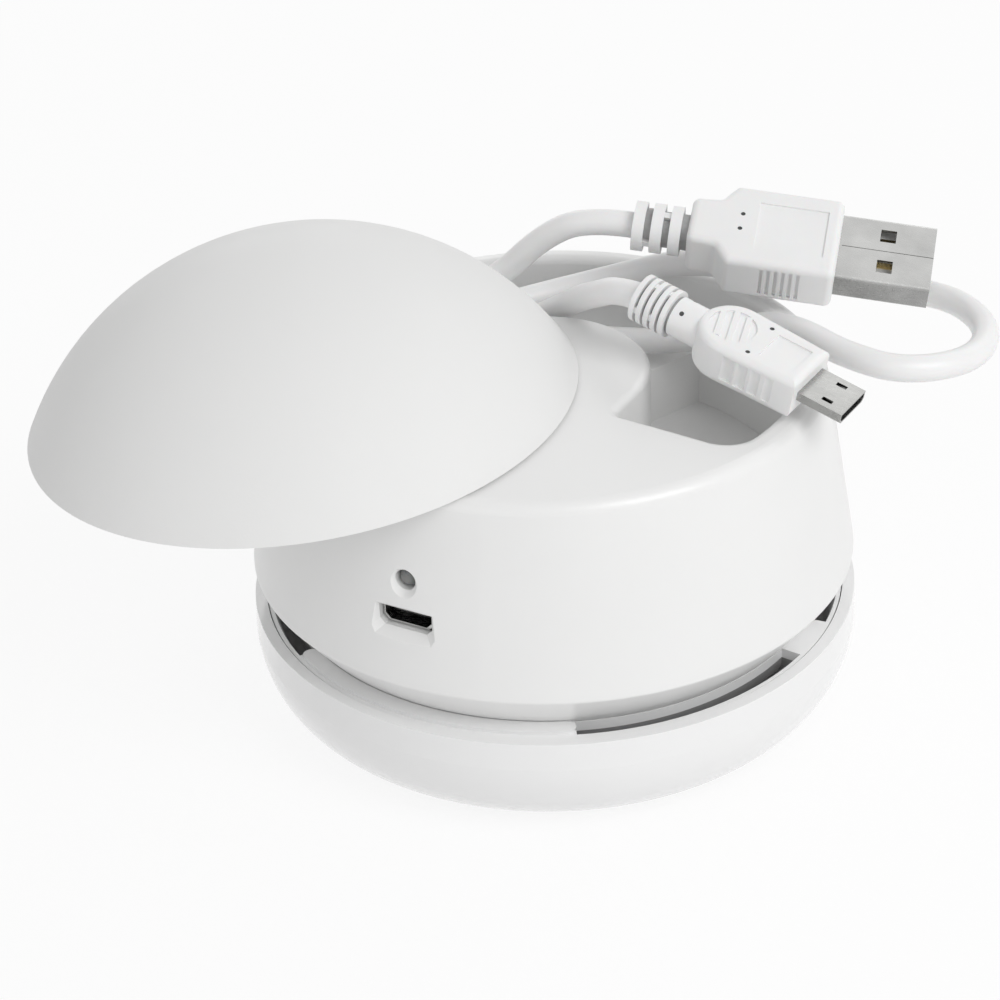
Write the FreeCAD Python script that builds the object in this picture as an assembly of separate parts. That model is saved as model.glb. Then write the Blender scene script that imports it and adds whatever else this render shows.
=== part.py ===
import FreeCAD, Part

import math
import os

from FreeCAD import Vector

# Desktop mini vacuum cleaner with a cable store under a swivelling domed lid.
# Millimetres, +Z up. Origin: on the body's axis, in the plane that the pads rest on.
# -Y is the front, with the charging port and the charge light, and +X is the right.

# ---- Stack of the lower body, from the table up ----
PAD_PROUD = 0.8          # how far the pads stand out below the dish
PAD_T = 1.6
DISH_WALL = 2.0
CHASSIS_RISE = 13.2      # dish underside to chassis underside
CHASSIS_T = 1.6
RING_T = 1.5

# ---- Dust tray ----
TRAY_R = 25.6
TRAY_CLEAR = 0.4
TRAY_WALL = 1.8
LUG_REACH = 3.0          # lugs beyond the tray's side
LUG_T = 1.6
LUG_LIFT = 0.05
LUG_HALF = 7.0           # half angle of a lug
LUG_PASS = 1.5           # degrees each side of a lug in its notch
LUG_ANGLES = (30.0, 150.0, 270.0)
TRAY_TURN = 25.0         # twist from locked to released, degrees
STOP_ARC = 2.5           # degrees
STOP_GAP = 0.3
RIM_GAP = 0.05           # tray rim to gasket
INTAKE_R = 8.0
INTAKE_WALL = 1.4
INTAKE_H = 8.2
WELL_R = 12.6
WELL_DEPTH = 2.6
COIN_SLOT = (13.0, 2.6, 0.9)
COIN_SLOT_R = 19.0
BRUSH_T = 1.2
BRUSH_CLEAR = 0.1
TUFT_COUNT = 24
TUFT_W = 1.2
TUFT_TIP = 0.15          # bristle tips above the table

# ---- Pads under the dish ----
PAD_MARGIN = 0.8         # dish kept on either side of the pads
PAD_W = 4.8
PAD_CLEAR = 0.1
PAD_MAIN_ANGLES = (-35.0, 215.0)
PAD_FRONT_ANGLES = (258.0, 282.0)

# ---- Chassis plate and filter ----
INLET_R = 12.0
INLET_LIP_T = 1.2
INLET_LIP_H = 2.2
SKIRT_CLEAR = 0.8        # tray to the chassis skirt
SKIRT_T = 1.6
SKIRT_GAP = 0.4          # lugs of the tray below the skirt
EXHAUST_IN = 1.5         # skirt to the exhaust openings
EXHAUST_W = 5.0
EXHAUST_MARGIN = 9.0     # degrees kept at each boss
EXHAUST_LEAST = 20.0     # shortest exhaust arc, degrees
LEDGE_W = 1.0            # ledge of the dish under the chassis plate
LEDGE_T = 1.5
FILTER_CLEAR = 0.2       # filter frame inside the skirt
FILTER_RIM = 5.2
FILTER_T = 1.5
MESH_T = 0.4
MESH_CLEAR = 0.1
SPOKE_W = 1.2
SPOKE_T = 0.7
GASKET_T = 0.5

# ---- Screws and bosses ----
SCREW_R = 1.0
SCREW_FIT = 0.02         # screw in its pilot hole
SCREW_PASS = 0.3         # screw in its clearance hole
SCREW_END = 1.0          # pilot hole beyond the screw's tip
SCREW_HEAD_R = 2.1
SCREW_HEAD_T = 1.4
SCREW_SINK = 0.2         # head below the face of its counterbore
BOSS_R = 3.5
BOSS_OUT = 4.0           # boss centres outside the chassis skirt
BOSS_ANGLES = (45.0, 135.0, 225.0, 315.0)
BOSS_SCREW_L = 8.0
PILLAR_R = 3.1
PILLAR_SEAT = 0.3        # seat in the dish wider than the pillar
PILLAR_ANGLES = (90.0, 210.0, 330.0)
PILLAR_FOOT = 3.2        # dish floor to the pillar's foot
DISH_SCREW_L = 8.0
COVER_BOSS_R = 2.8
COVER_SCREW_IN = 5.0     # screws inside the cover's edge
COVER_ANGLES = (90.0, 212.0, 328.0)
COVER_SCREW_L = 6.0
MERGE = 0.5              # how far joined forms run into each other

# ---- Vent ring ----
RING_BOSS_GAP = 1.1      # housing bosses inside the ring
RING_SEAT = 2.6          # ring kept under the housing's foot
RING_RIM = 0.6           # ring kept outside the slots
RING_CLEAR = 0.2         # ring inside the dish's lip
SLOT_W = 3.0
SLOT_GAP = 0.1           # housing foot to the slots
SLOT_STEP = 0.6          # slots in the chassis plate narrower than in the ring
BRIDGE_HALF = 6.4        # half angle of the bridges between slots
FRONT_HALF = 32.0        # half angle of the closed front segment
STUD_PROUD = 0.5         # raised rounded ends of the closed segment

# ---- Base dish ----
LIP_T = 1.7
LIP_INSET = 0.2          # lip inside the widest radius
LIP_PROUD = 0.15         # lip above the vent ring
DISH_WIDE_RISE = 12.2    # dish underside to the widest radius

# ---- Upper housing ----
SKIRT_UNDERCUT = 5.3     # foot inside the widest edge
EDGE_RISE = 6.7          # vent ring to the widest edge
EDGE_ROUND = 0.5
SIDE_TAPER = 4.5         # shoulder inside the widest edge
SHOULDER_ROUND = 2.0
CROWN_R = 420.0          # sphere of the crowned deck
HOUSING_WALL = 2.2
SEAM_ANGLE = -75.0       # where the turned faces close, clear of the store and the port
MOTOR_HEADROOM = 3.0     # motor's end cap to the shoulder

# ---- Cable store in the deck ----
STORE_LAND = 4.0         # deck kept between the shoulder and the store
STORE_DRAFT = 0.025      # taper of the outer wall, radius per depth
STORE_FRONT_Y = -11.2
STORE_CORNER = 5.0
STORE_INNER_CORNER = 1.5
STORE_EDGE = 1.2         # rounding of the store's upper edge
STORE_WALL = 1.8
TRENCH_GAP = 0.9         # battery cell to the trench
POCKET_GAP = 0.2         # fan cover to the plug pocket
LEDGE_ANGLE = 67.4       # direction of the step between trench and pocket
LEDGE_POINT = (-1.3, 12.8)
HUB_ROOM = 4.2           # motor to the hub's wall
HUB_Y = -3.2

# ---- Lid and its pivot ----
LID_INSET = 0.6          # lid inside the shoulder
LID_RISE = 23.2
LID_WALL = 1.6
LID_GAP = 0.3            # rim and boss above the deck
LID_OPEN = 76.8          # swing of the lid, degrees
HINGE_IN = 11.4          # pivot inside the shoulder
HINGE_BOSS_R = 5.0
HINGE_BOSS_H = 14.0
HINGE_RIB_T = 1.4
HINGE_RIB_REACH = 11.0
SPIGOT_R = 3.0
PIVOT_CLEAR = 0.05
UNDER_BOSS_R = 6.5
UNDER_BOSS_H = 4.0
WASHER_R = 6.0
WASHER_T = 0.8
WASHER_CLEAR = 0.1
SPRING_STEP = 1.0        # spring washer inside the thrust washer
PIVOT_SCREW_R = 1.3
PIVOT_HEAD_R = 4.2
PIVOT_HEAD_T = 1.4
PIVOT_SCREW_L = 9.0
PIVOT_CROSS = (4.0, 0.8, 0.6)    # length, width and depth of the cross recess

# ---- Fan and motor ----
FAN_GAP = 3.0            # chassis plate to blades
FAN_CLEAR = 1.5          # fan inside the housing's bosses
BLADE_COUNT = 11
BLADE_H = 6.2
BLADE_T = 0.9
BLADE_R0 = 12.5
BLADE_BULGE = 2.6
FAN_PLATE_T = 1.2
FAN_HUB_R = 3.6
FAN_EYE_CONE_H = 4.0
COVER_GAP = 1.4          # fan plate to fan cover
COVER_T = 1.6
COVER_RIM = 0.5          # cover outside the housing's bosses
MOTOR_R = 10.2
MOTOR_FLAT = 7.7         # half width across the flats
MOTOR_H = 17.0
MOTOR_ROUND = 0.8
NOSE_R = 3.1
NOSE_CLEAR = 0.1
BUSH_R = 2.4
BUSH_L = 2.0
SHAFT_R = 1.0
SHAFT_CLEAR = 0.05
SHAFT_BORE = 1.5
CAP_H = 3.0
CAP_STEP = 0.6           # end cap inside the can
CAP_ROOF = 0.8
TERMINAL = (0.5, 2.0, 1.6)
TERMINAL_IN = 3.2        # tags inside the end cap's edge
MOTOR_SCREW_IN = 2.2     # screws inside the can's side
MOTOR_SCREW_L = 4.0

# ---- Battery, circuit board, port, light ----
CELL = (16.0, 27.0, 7.5)
CELL_IN = 5.0            # cell inside the cover's edge
CELL_FRONT_Y = -12.0
CELL_ROUND = 1.2
CRADLE_T = 0.8
CRADLE_WALL = 1.0
CRADLE_H = 3.5
CRADLE_GAP = (0.3, 0.7)  # gap in the cradle's sides, as shares of the cell's length
PORT = (7.8, 2.7, 5.6)   # width, height, depth of the metal shell
PORT_WALL = 0.3
PORT_CHAMFER = 0.8
PORT_CLEAR = 0.2
PORT_INSET = 1.7         # shell behind the side wall's face
PORT_BEVEL = 0.9
PORT_TONGUE = (0.5, 0.9, 0.65)   # side gap, setback and thickness
PORT_TONGUE_LIFT = 0.05
BOARD_T = 1.4
BOARD_HALF = 14.0
BOARD_L = 24.0
BOARD_LIFT = 1.45        # fan cover to the board
BOARD_SETBACK = 2.3      # board behind the port's front
BOARD_SCREW_X = 11.5
BOARD_SCREW_IN = 4.0     # screws inside the board's rear edge
BOARD_SCREW_L = 3.0
BOARD_POST_R = 2.4
CHIP = (-4.0, 12.0, 5.0, 4.0, 1.2)       # x, in from the rear edge, width, length, height
COIL = (4.75, 11.75, 4.5, 4.5, 2.4)
CAPACITOR = (-9.5, 12.0, 2.0, 5.0)       # x, in from the rear edge, radius, height
SOCKET = (0.0, 3.25, 8.0, 4.5, 4.2)
SOCKET_WALL = 0.6
LIGHT_RISE = 6.0         # port to light
LIGHT_R = 1.45
LIGHT_CLEAR = 0.1
LIGHT_BEVEL = 0.5
LIGHT_INSET = 0.64       # dome behind the side wall's face
LIGHT_L = 4.0
LIGHT_FLANGE = (0.35, 0.8)
LIGHT_LEG = 0.5
LIGHT_LEG_X = 0.762
LIGHT_LEG_BACK = 3.5

# ---- Power switch ----
SWITCH_ANGLE = 200.0     # turn from the front, so it sits at the rear left
SWITCH_RISE = 4.5        # fan cover to the switch's centre
SWITCH_RECESS = (11.0, 5.4)
SWITCH_SINK = 1.15       # recess below the side wall's face
SWITCH_SEAT_T = 2.2
SWITCH_PAD = (16.0, 8.4)
SWITCH_BODY = (12.4, 6.2, 5.0)
SWITCH_WELL = 3.0
SWITCH_RIB_W = 8.0
SWITCH_RIB_D = 3.0
SWITCH_STEM = (3.6, 1.6)
SWITCH_STEM_IN = 2.6
SWITCH_CAP = (4.8, 3.8, 1.3)
SWITCH_CAP_GAP = 0.1
SWITCH_RIDGES = (-1.4, 0.0, 1.4)
SWITCH_RIDGE = (0.6, 3.0, 0.35)
SWITCH_TRAVEL = 3.0
SWITCH_CLEAR = 0.3

# ---- USB-A plug, in its own frame: x out of the shell, y across, z thickness ----
A_PLACE = (30.5, 35.7, 8.0)      # the height is above the shoulder
A_AXIS = (0.942, 0.317, -0.114)
A_ACROSS = (-0.243, 0.874, 0.421)
A_SHELL = (13.2, 12.0, 4.5)
A_SHELL_WALL = 0.35
A_FRONT = -0.6
A_SHOULDER_X = -16.6
A_NECK_X = -18.6
A_BACK_X = -22.8
A_HALF_W = 7.3
A_NECK_HALF_W = 4.4
A_HALF_T = 4.0
A_ROUND = 1.1
A_WINDOW = 2.3
A_WINDOW_X = 6.3
A_WINDOW_Y = 2.9
A_PANEL = (-12.9, -2.7, -4.2, 4.4)
A_GRIP_X = (-11.2, -5.8)
A_GRIPS = 6
A_GRIP_DEPTH = 0.45
A_RELIEF_END = -31.0
A_RELIEF_R = 3.7
A_RINGS = 3
A_TONGUE = (12.6, 11.2, 1.9)
A_CONTACT_Y = (-3.5, -1.0, 1.0, 3.5)

# ---- Micro-B plug, in its own frame ----
B_PLACE = (40.1, 1.8, 4.5)
B_AXIS = (0.962, -0.087, -0.253)
B_ACROSS = (0.115, 0.987, 0.101)
B_SHELL = (6.4, 6.8, 1.8)
B_SHELL_WALL = 0.25
B_CHAMFER = 0.5
B_FRONT = -0.5
B_HALF_W = 5.3
B_FRONT_HALF_W = 4.8
B_TAIL_X = -18.2
B_HALF_T = 3.2
B_ROUND = 1.0
B_NECK_X = -22.0
B_NECK_R = 2.9
B_RELIEF_END = -28.0
B_RELIEF_R = 3.5
B_RINGS = 5
B_THUMB = (-13.4, 3.4)   # centre and radius of the thumb dish
B_WAVES = 4
B_WAVE_X = -10.6
B_WAVE_PITCH = 2.1
B_WAVE_R = 1.3
B_PANEL = (-7.6, -2.2, -2.8, 2.8)
B_TONGUE = (5.6, 4.4, 0.6)
MARK_DEPTH = 0.3
PIN_R = 0.35

# The cord between the plugs
CORD_D = 3.9
CORD_CORNER = 0.45          # share of the shorter run that an arc takes at each point
CORD_EXIT_A = 7.5           # straight out of each strain relief
CORD_EXIT_B = 8.0
CORD_ROUTE = (
    # down behind the lid, into the store and up under the lid
    (-13.0, 23.0, 60.0), (-19.5, 22.0, 53.0), (-26.0, 16.0, 49.6), (-30.5, 6.5, 51.8),
    # upper turn under the lid
    (-29.0, -4.0, 55.5), (-22.0, -11.0, 59.5), (-13.5, -7.0, 61.5), (-14.5, 3.5, 59.0),
    # out below the rim and behind the USB-A plug
    (-20.0, 13.2, 50.2), (-15.0, 22.5, 49.8), (-5.0, 29.5, 52.0), (4.5, 33.5, 55.0),
    (14.0, 35.5, 55.2), (25.0, 37.8, 54.8), (37.0, 41.0, 53.8),
    # open loop past the edge
    (46.5, 42.0, 53.2), (54.5, 34.0, 53.4), (56.0, 22.0, 54.4), (49.0, 13.0, 55.4), (39.5, 14.0, 55.8),
    # under the micro-B plug and down to the trench floor
    (31.5, 19.0, 55.4), (24.0, 23.5, 53.0), (15.5, 26.0, 48.5), (6.5, 27.5, 44.5), (-3.5, 27.5, 42.8),
    (-14.5, 24.5, 42.6), (-24.5, 18.0, 42.6), (-31.0, 8.5, 42.7),
    # lower turn in the trench
    (-32.5, -1.0, 43.6), (-30.0, -8.4, 44.6), (-20.0, -8.2, 46.6), (-18.8, 2.0, 48.2),
    # out below the rim and up over the hub
    (-16.3, 8.8, 48.8), (-10.8, 14.4, 50.2), (-4.5, 17.5, 54.3), (-1.8, 11.8, 61.2),
)

# ---- Worked-out radii, from the tray outwards ----
TUFT_R = (INTAKE_R + INTAKE_WALL + WELL_R) / 2
LUG_R = TRAY_R + LUG_REACH
PAD_R0 = LUG_R + PAD_MARGIN
PAD_R1 = PAD_R0 + PAD_W
DISH_FLAT_R = PAD_R1 + PAD_MARGIN
PILLAR_RING_R = PAD_R0 + PAD_W / 2
SKIRT_R0 = TRAY_R + SKIRT_CLEAR
SKIRT_R1 = SKIRT_R0 + SKIRT_T
FILTER_R = SKIRT_R0 - FILTER_CLEAR
FILTER_INNER_R = FILTER_R - FILTER_RIM
EXHAUST_R0 = SKIRT_R1 + EXHAUST_IN
EXHAUST_R1 = EXHAUST_R0 + EXHAUST_W
BOSS_RING_R = SKIRT_R1 + BOSS_OUT
FAN_R = BOSS_RING_R - BOSS_R - FAN_CLEAR
COVER_R = BOSS_RING_R + BOSS_R + COVER_RIM
COVER_RING_R = COVER_R - COVER_SCREW_IN
RING_R0 = BOSS_RING_R + BOSS_R + RING_BOSS_GAP
FOOT_R = RING_R0 + RING_SEAT
SLOT_R0 = FOOT_R + SLOT_GAP
SLOT_R1 = SLOT_R0 + SLOT_W
RING_R1 = SLOT_R1 + RING_RIM
LIP_R0 = RING_R1 + RING_CLEAR
LIP_R1 = LIP_R0 + LIP_T
DISH_R = LIP_R1 + LIP_INSET      # widest radius
EDGE_R = FOOT_R + SKIRT_UNDERCUT
SHOULDER_R = EDGE_R - SIDE_TAPER
STORE_R = SHOULDER_R - STORE_LAND
LID_R = SHOULDER_R - LID_INSET
HINGE_Y = HINGE_IN - SHOULDER_R
CAP_R = MOTOR_R - CAP_STEP
TERMINAL_X = CAP_R - TERMINAL_IN
MOTOR_SCREW_X = MOTOR_R - MOTOR_SCREW_IN
HUB_R = MOTOR_R + HUB_ROOM + STORE_WALL

# ---- Worked-out heights ----
DISH_Z = PAD_PROUD
FLOOR_Z = DISH_Z + DISH_WALL
CHASSIS_Z = DISH_Z + CHASSIS_RISE
CHASSIS_TOP = CHASSIS_Z + CHASSIS_T
RING_TOP = CHASSIS_TOP + RING_T
EDGE_Z = RING_TOP + EDGE_RISE
BLADE_Z = CHASSIS_TOP + FAN_GAP
FAN_PLATE_Z = BLADE_Z + BLADE_H
FAN_TOP = FAN_PLATE_Z + FAN_PLATE_T
COVER_Z = FAN_TOP + COVER_GAP
COVER_TOP = COVER_Z + COVER_T
MOTOR_TOP = COVER_TOP + MOTOR_H
CAP_TOP = MOTOR_TOP + CAP_H
SHOULDER_Z = CAP_TOP + MOTOR_HEADROOM
SHOULDER_RISE = SHOULDER_Z - EDGE_Z
CROWN_Z = SHOULDER_Z - math.sqrt(CROWN_R ** 2 - SHOULDER_R ** 2)
ABOVE = SHOULDER_Z + 12.0
TRENCH_Z = COVER_TOP + CRADLE_T + CELL[2] + TRENCH_GAP + STORE_WALL
POCKET_Z = COVER_TOP + POCKET_GAP + STORE_WALL
FILTER_Z = CHASSIS_Z - FILTER_T
GASKET_Z = FILTER_Z - GASKET_T
LUG_Z = FLOOR_Z + LUG_LIFT
BOARD_Z = COVER_TOP + BOARD_LIFT
BOARD_TOP = BOARD_Z + BOARD_T
PORT_Z = BOARD_TOP + PORT[1] / 2
LIGHT_Z = PORT_Z + LIGHT_RISE
SWITCH_Z = COVER_TOP + SWITCH_RISE
HINGE_TILT = math.degrees(math.asin(-HINGE_Y / CROWN_R))
CROWN_CENTRE = Vector(0, 0, CROWN_Z)
UP = Vector(0, 0, 1)


def side_radius(z):
    """Outside radius of the tapered side at a height."""
    return EDGE_R + (SHOULDER_R - EDGE_R) * (z - EDGE_Z) / SHOULDER_RISE


# ---- Worked-out places at the side wall ----
PORT_FRONT_Y = PORT_INSET - side_radius(PORT_Z)
LIGHT_FRONT_Y = LIGHT_INSET - side_radius(LIGHT_Z)
SWITCH_RECESS_Y = SWITCH_SINK - side_radius(SWITCH_Z)
SWITCH_PAD_Y = SWITCH_RECESS_Y + SWITCH_SEAT_T
BOARD_Y0 = PORT_FRONT_Y + BOARD_SETBACK
BOARD_Y1 = BOARD_Y0 + BOARD_L
BOARD_SCREW = (BOARD_SCREW_X, BOARD_Y1 - BOARD_SCREW_IN)
CELL_CORNER = (CELL_IN - COVER_R, CELL_FRONT_Y)
A_BASE = Vector(A_PLACE[0], A_PLACE[1], SHOULDER_Z + A_PLACE[2])
B_BASE = Vector(B_PLACE[0], B_PLACE[1], SHOULDER_Z + B_PLACE[2])


# ---- Small tools ----
def block(x0, x1, y0, y1, z0, z1):
    """A box between two corners."""
    return Part.makeBox(x1 - x0, y1 - y0, z1 - z0, Vector(x0, y0, z0))


def post(radius, z0, z1, x=0.0, y=0.0):
    """An upright cylinder."""
    return Part.makeCylinder(radius, z1 - z0, Vector(x, y, z0))


def ring(inner, outer, z0, z1, x=0.0, y=0.0):
    """An upright tube."""
    return post(outer, z0, z1, x, y).cut(post(inner, z0, z1, x, y))


def arc_ring(inner, outer, z0, z1, start, end):
    """A part of a tube, between two angles in degrees."""
    sector = Part.makeCylinder(outer, z1 - z0, Vector(0, 0, z0), UP, end - start)
    sector = sector.cut(post(inner, z0, z1))
    return turned(sector, start)


def turned(shape, degrees):
    """A copy turned about the body's axis."""
    copy = shape.copy()
    copy.rotate(Vector(0, 0, 0), UP, degrees)
    return copy


def around(radius, degrees):
    """The point at a radius and an angle about the body's axis."""
    angle = math.radians(degrees)
    return radius * math.cos(angle), radius * math.sin(angle)


def joined(shapes):
    """All shapes as one solid, without seams on shared faces."""
    first = shapes[0]
    return first.multiFuse(shapes[1:]).removeSplitter()


def profile_solid(points, low, high):
    """A prism along Z from a closed outline of (x, y) points."""
    wire = Part.makePolygon([Vector(x, y, low) for x, y in points + points[:1]])
    return Part.Face(wire).extrude(Vector(0, 0, high - low))


def spun(edges):
    """A solid of revolution about Z from the edges of a closed outline in the XZ plane."""
    face = Part.Face(Part.Wire(edges))
    return face.revolve(Vector(0, 0, 0), UP, 360)


def line(p, q):
    """A straight edge in the XZ plane."""
    return Part.makeLine(Vector(p[0], 0, p[1]), Vector(q[0], 0, q[1]))


def circles(shape, radius):
    """The round edges of a shape that have a given radius."""
    found = []
    for edge in shape.Edges:
        if not edge.Degenerated and isinstance(edge.Curve, Part.Circle):
            if abs(edge.Curve.Radius - radius) < 0.001:
                found.append(edge)
    return found


def upright_edges(shape, x, y, reach=1.0):
    """The vertical edges of a shape that stand near a point in plan."""
    found = []
    for edge in shape.Edges:
        low, high = edge.Vertexes[0].Point, edge.Vertexes[-1].Point
        tall = abs(high.z - low.z) > 1.0
        near = math.hypot((low.x + high.x) / 2 - abs(x), (low.y + high.y) / 2 - y) < reach
        mirrored = math.hypot((low.x + high.x) / 2 + abs(x), (low.y + high.y) / 2 - y) < reach
        if tall and (near or mirrored):
            found.append(edge)
    return found


def on_hinge(shape):
    """Lean a shape built on the Z axis onto the tilted hinge axis."""
    copy = shape.copy()
    copy.rotate(CROWN_CENTRE, Vector(1, 0, 0), HINGE_TILT)
    return copy


def hinge_direction():
    """Unit vector along the hinge axis."""
    tilt = math.radians(HINGE_TILT)
    return Vector(0, -math.sin(tilt), math.cos(tilt))


def opened(shape):
    """Swing a piece of the closed lid to its open place."""
    copy = shape.copy()
    copy.rotate(CROWN_CENTRE, hinge_direction(), LID_OPEN)
    return copy


def screw(x, y, seat, length, up=True):
    """A pan-head screw: its head bears on the seat plane and its shank runs up or down."""
    sign = 1.0 if up else -1.0
    low, high = sorted((seat, seat + sign * length))
    shank = post(SCREW_R - SCREW_FIT, low, high, x, y)
    head_low, head_high = sorted((seat, seat - sign * SCREW_HEAD_T))
    head = post(SCREW_HEAD_R, head_low, head_high, x, y)
    slot = block(x - SCREW_HEAD_R, x + SCREW_HEAD_R, y - 0.3, y + 0.3,
                 seat - sign * SCREW_HEAD_T - 0.5, seat - sign * SCREW_HEAD_T + 0.5)
    return joined([shank, head.cut(slot)])


def save(name, shape):
    """Write one piece, or a group of like pieces, as a STEP file."""
    if len(shape.Solids) == 1:
        shape = shape.Solids[0]
    shape.exportStep(os.path.join("parts", name + ".step"))
    print("%-24s solids %2d  volume %9.2f  valid %s"
          % (name, len(shape.Solids), shape.Volume, shape.isValid()))


# ---- Upper housing ----
def skirt_radius(z):
    """Outer radius of the undercut skirt."""
    return FOOT_R + (EDGE_R - FOOT_R) * (z - RING_TOP) / EDGE_RISE


def level_wall(slope_run, slope_rise):
    """Wall thickness measured level, on a sloping wall."""
    return HOUSING_WALL * math.hypot(slope_run, slope_rise) / slope_rise


def crown_height(radius):
    """Height of the crowned deck at a radius."""
    return CROWN_Z + math.sqrt(CROWN_R ** 2 - radius ** 2)


def housing_form():
    """The outside of the housing as one filled solid."""
    shoulder = (SHOULDER_R, SHOULDER_Z)
    crown = Part.Arc(Vector(SHOULDER_R, 0, SHOULDER_Z),
                     Vector(SHOULDER_R / 2, 0, crown_height(SHOULDER_R / 2)),
                     Vector(0, 0, crown_height(0))).toShape()
    form = spun([line((0, RING_TOP), (FOOT_R, RING_TOP)),
                 line((FOOT_R, RING_TOP), (EDGE_R, EDGE_Z)),
                 line((EDGE_R, EDGE_Z), shoulder),
                 crown,
                 line((0, crown_height(0)), (0, RING_TOP))])
    form = form.makeFillet(SHOULDER_ROUND, circles(form, SHOULDER_R))
    return form.makeFillet(EDGE_ROUND, circles(form, EDGE_R))


def housing_void():
    """The hollow inside the housing, before the cable store takes its share."""
    side_in = level_wall(EDGE_R - SHOULDER_R, SHOULDER_RISE)
    skirt_in = level_wall(EDGE_R - FOOT_R, EDGE_RISE)
    side_slope = (SHOULDER_R - EDGE_R) / SHOULDER_RISE
    skirt_slope = (EDGE_R - FOOT_R) / EDGE_RISE
    knee = EDGE_Z + (skirt_in - side_in) / (skirt_slope - side_slope)
    low = RING_TOP - 1.0
    corners = [(0, low), (skirt_radius(low) - skirt_in, low), (side_radius(knee) - side_in, knee),
               (side_radius(ABOVE) - side_in, ABOVE), (0, ABOVE)]
    edges = [line(p, q) for p, q in zip(corners, corners[1:] + corners[:1])]
    return spun(edges).common(Part.makeSphere(CROWN_R - HOUSING_WALL, CROWN_CENTRE))


def store_plan(grow):
    """Plan of the cable store as a tall solid, grown outwards by a wall."""
    low = POCKET_Z - grow
    depth = ABOVE - low
    top_r = STORE_R + grow + STORE_DRAFT * (ABOVE - SHOULDER_Z)
    bowl = Part.makeCone(top_r - STORE_DRAFT * depth, top_r, depth, Vector(0, 0, low))
    front = STORE_FRONT_Y - grow
    plan = bowl.common(block(-60, 60, front, 60, low, ABOVE))
    corner_x = math.sqrt((STORE_R + grow) ** 2 - front ** 2)
    plan = plan.makeFillet(STORE_CORNER + grow, upright_edges(plan, corner_x, front))
    hub = joined([post(HUB_R - grow, low, ABOVE, 0, HUB_Y),
                  block(grow - HUB_R, HUB_R - grow, front - 20, HUB_Y, low, ABOVE)])
    plan = plan.cut(hub)
    return plan.makeFillet(STORE_INNER_CORNER + grow, upright_edges(plan, HUB_R - grow, front))


def store_forms(grow):
    """The cable store as two solids: a C-shaped trench and a deeper pocket for the plugs."""
    plan = store_plan(grow)
    above_trench = block(-60, 60, -60, 60, TRENCH_Z - grow, ABOVE)
    pocket_side = block(-grow, 100, -100, 100, POCKET_Z - grow, ABOVE)
    pocket_side.rotate(Vector(0, 0, 0), UP, LEDGE_ANGLE - 90.0)
    pocket_side.translate(Vector(LEDGE_POINT[0], LEDGE_POINT[1], 0))
    return plan.common(above_trench), plan.common(pocket_side)


def without(shape, tools):
    """A shape with every tool cut from it, one after the other."""
    for tool in tools:
        shape = shape.cut(tool)
    return shape


def rounded_store(form, stores):
    """Round the edge where the deck turns down into the cable store."""
    edges = []
    for edge in form.Edges:
        if edge.Degenerated or edge.BoundBox.ZMin < SHOULDER_Z:
            continue
        middle = Part.Vertex(edge.valueAt((edge.FirstParameter + edge.LastParameter) / 2))
        if min(store.distToShape(middle)[0] for store in stores) < 0.001:
            edges.append(edge)
    return form.makeFillet(STORE_EDGE, edges)


def long_bosses(form):
    """Screw bosses that hang from the deck or the store's floor down to the chassis."""
    room = joined([form, post(RING_R0, CHASSIS_TOP, RING_TOP + 1.0)])
    bosses = []
    for angle in BOSS_ANGLES:
        x, y = around(BOSS_RING_R, angle)
        boss = post(BOSS_R, CHASSIS_TOP, ABOVE, x, y).common(room)
        bosses.append(boss.cut(post(SCREW_R, CHASSIS_TOP, CHASSIS_TOP + BOSS_SCREW_L, x, y)))
    for angle in COVER_ANGLES:
        x, y = around(COVER_RING_R, angle)
        boss = post(COVER_BOSS_R, COVER_TOP, ABOVE, x, y).common(room)
        bosses.append(boss.cut(post(SCREW_R, COVER_TOP, COVER_TOP + COVER_SCREW_L, x, y)))
    return bosses


def hinge_seat():
    """Boss under the deck that carries the lid's spigot."""
    under = CROWN_Z + CROWN_R - HOUSING_WALL
    return on_hinge(post(UNDER_BOSS_R, under - UNDER_BOSS_H, under + 0.5 * HOUSING_WALL))


def port_outline(clear):
    """Outline of the charging port in plan of its face: flat top, chamfered lower corners."""
    half_w = PORT[0] / 2 + clear
    half_h = PORT[1] / 2 + clear
    return [(-half_w, half_h), (half_w, half_h), (half_w, -half_h + PORT_CHAMFER),
            (half_w - PORT_CHAMFER, -half_h), (-half_w + PORT_CHAMFER, -half_h),
            (-half_w, -half_h + PORT_CHAMFER)]


def port_prism(clear, y0, y1):
    """The port's outline as a prism that runs front to back."""
    wire_points = [Vector(x, y0, PORT_Z + z) for x, z in port_outline(clear)]
    wire = Part.makePolygon(wire_points + wire_points[:1])
    return Part.Face(wire).extrude(Vector(0, y1 - y0, 0))


def port_opening():
    """Opening for the charging port, with a bevel at the outside."""
    face_y = -side_radius(PORT_Z)
    rings = []
    for clear, y in ((PORT_CLEAR + 2 * PORT_BEVEL, face_y - PORT_BEVEL), (PORT_CLEAR, face_y + PORT_BEVEL)):
        points = [Vector(x, y, PORT_Z + z) for x, z in port_outline(clear)]
        rings.append(Part.makePolygon(points + points[:1]))
    bevel = Part.makeLoft(rings, True, True)
    return joined([port_prism(PORT_CLEAR, face_y, PORT_FRONT_Y + 5.0), bevel])


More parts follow.
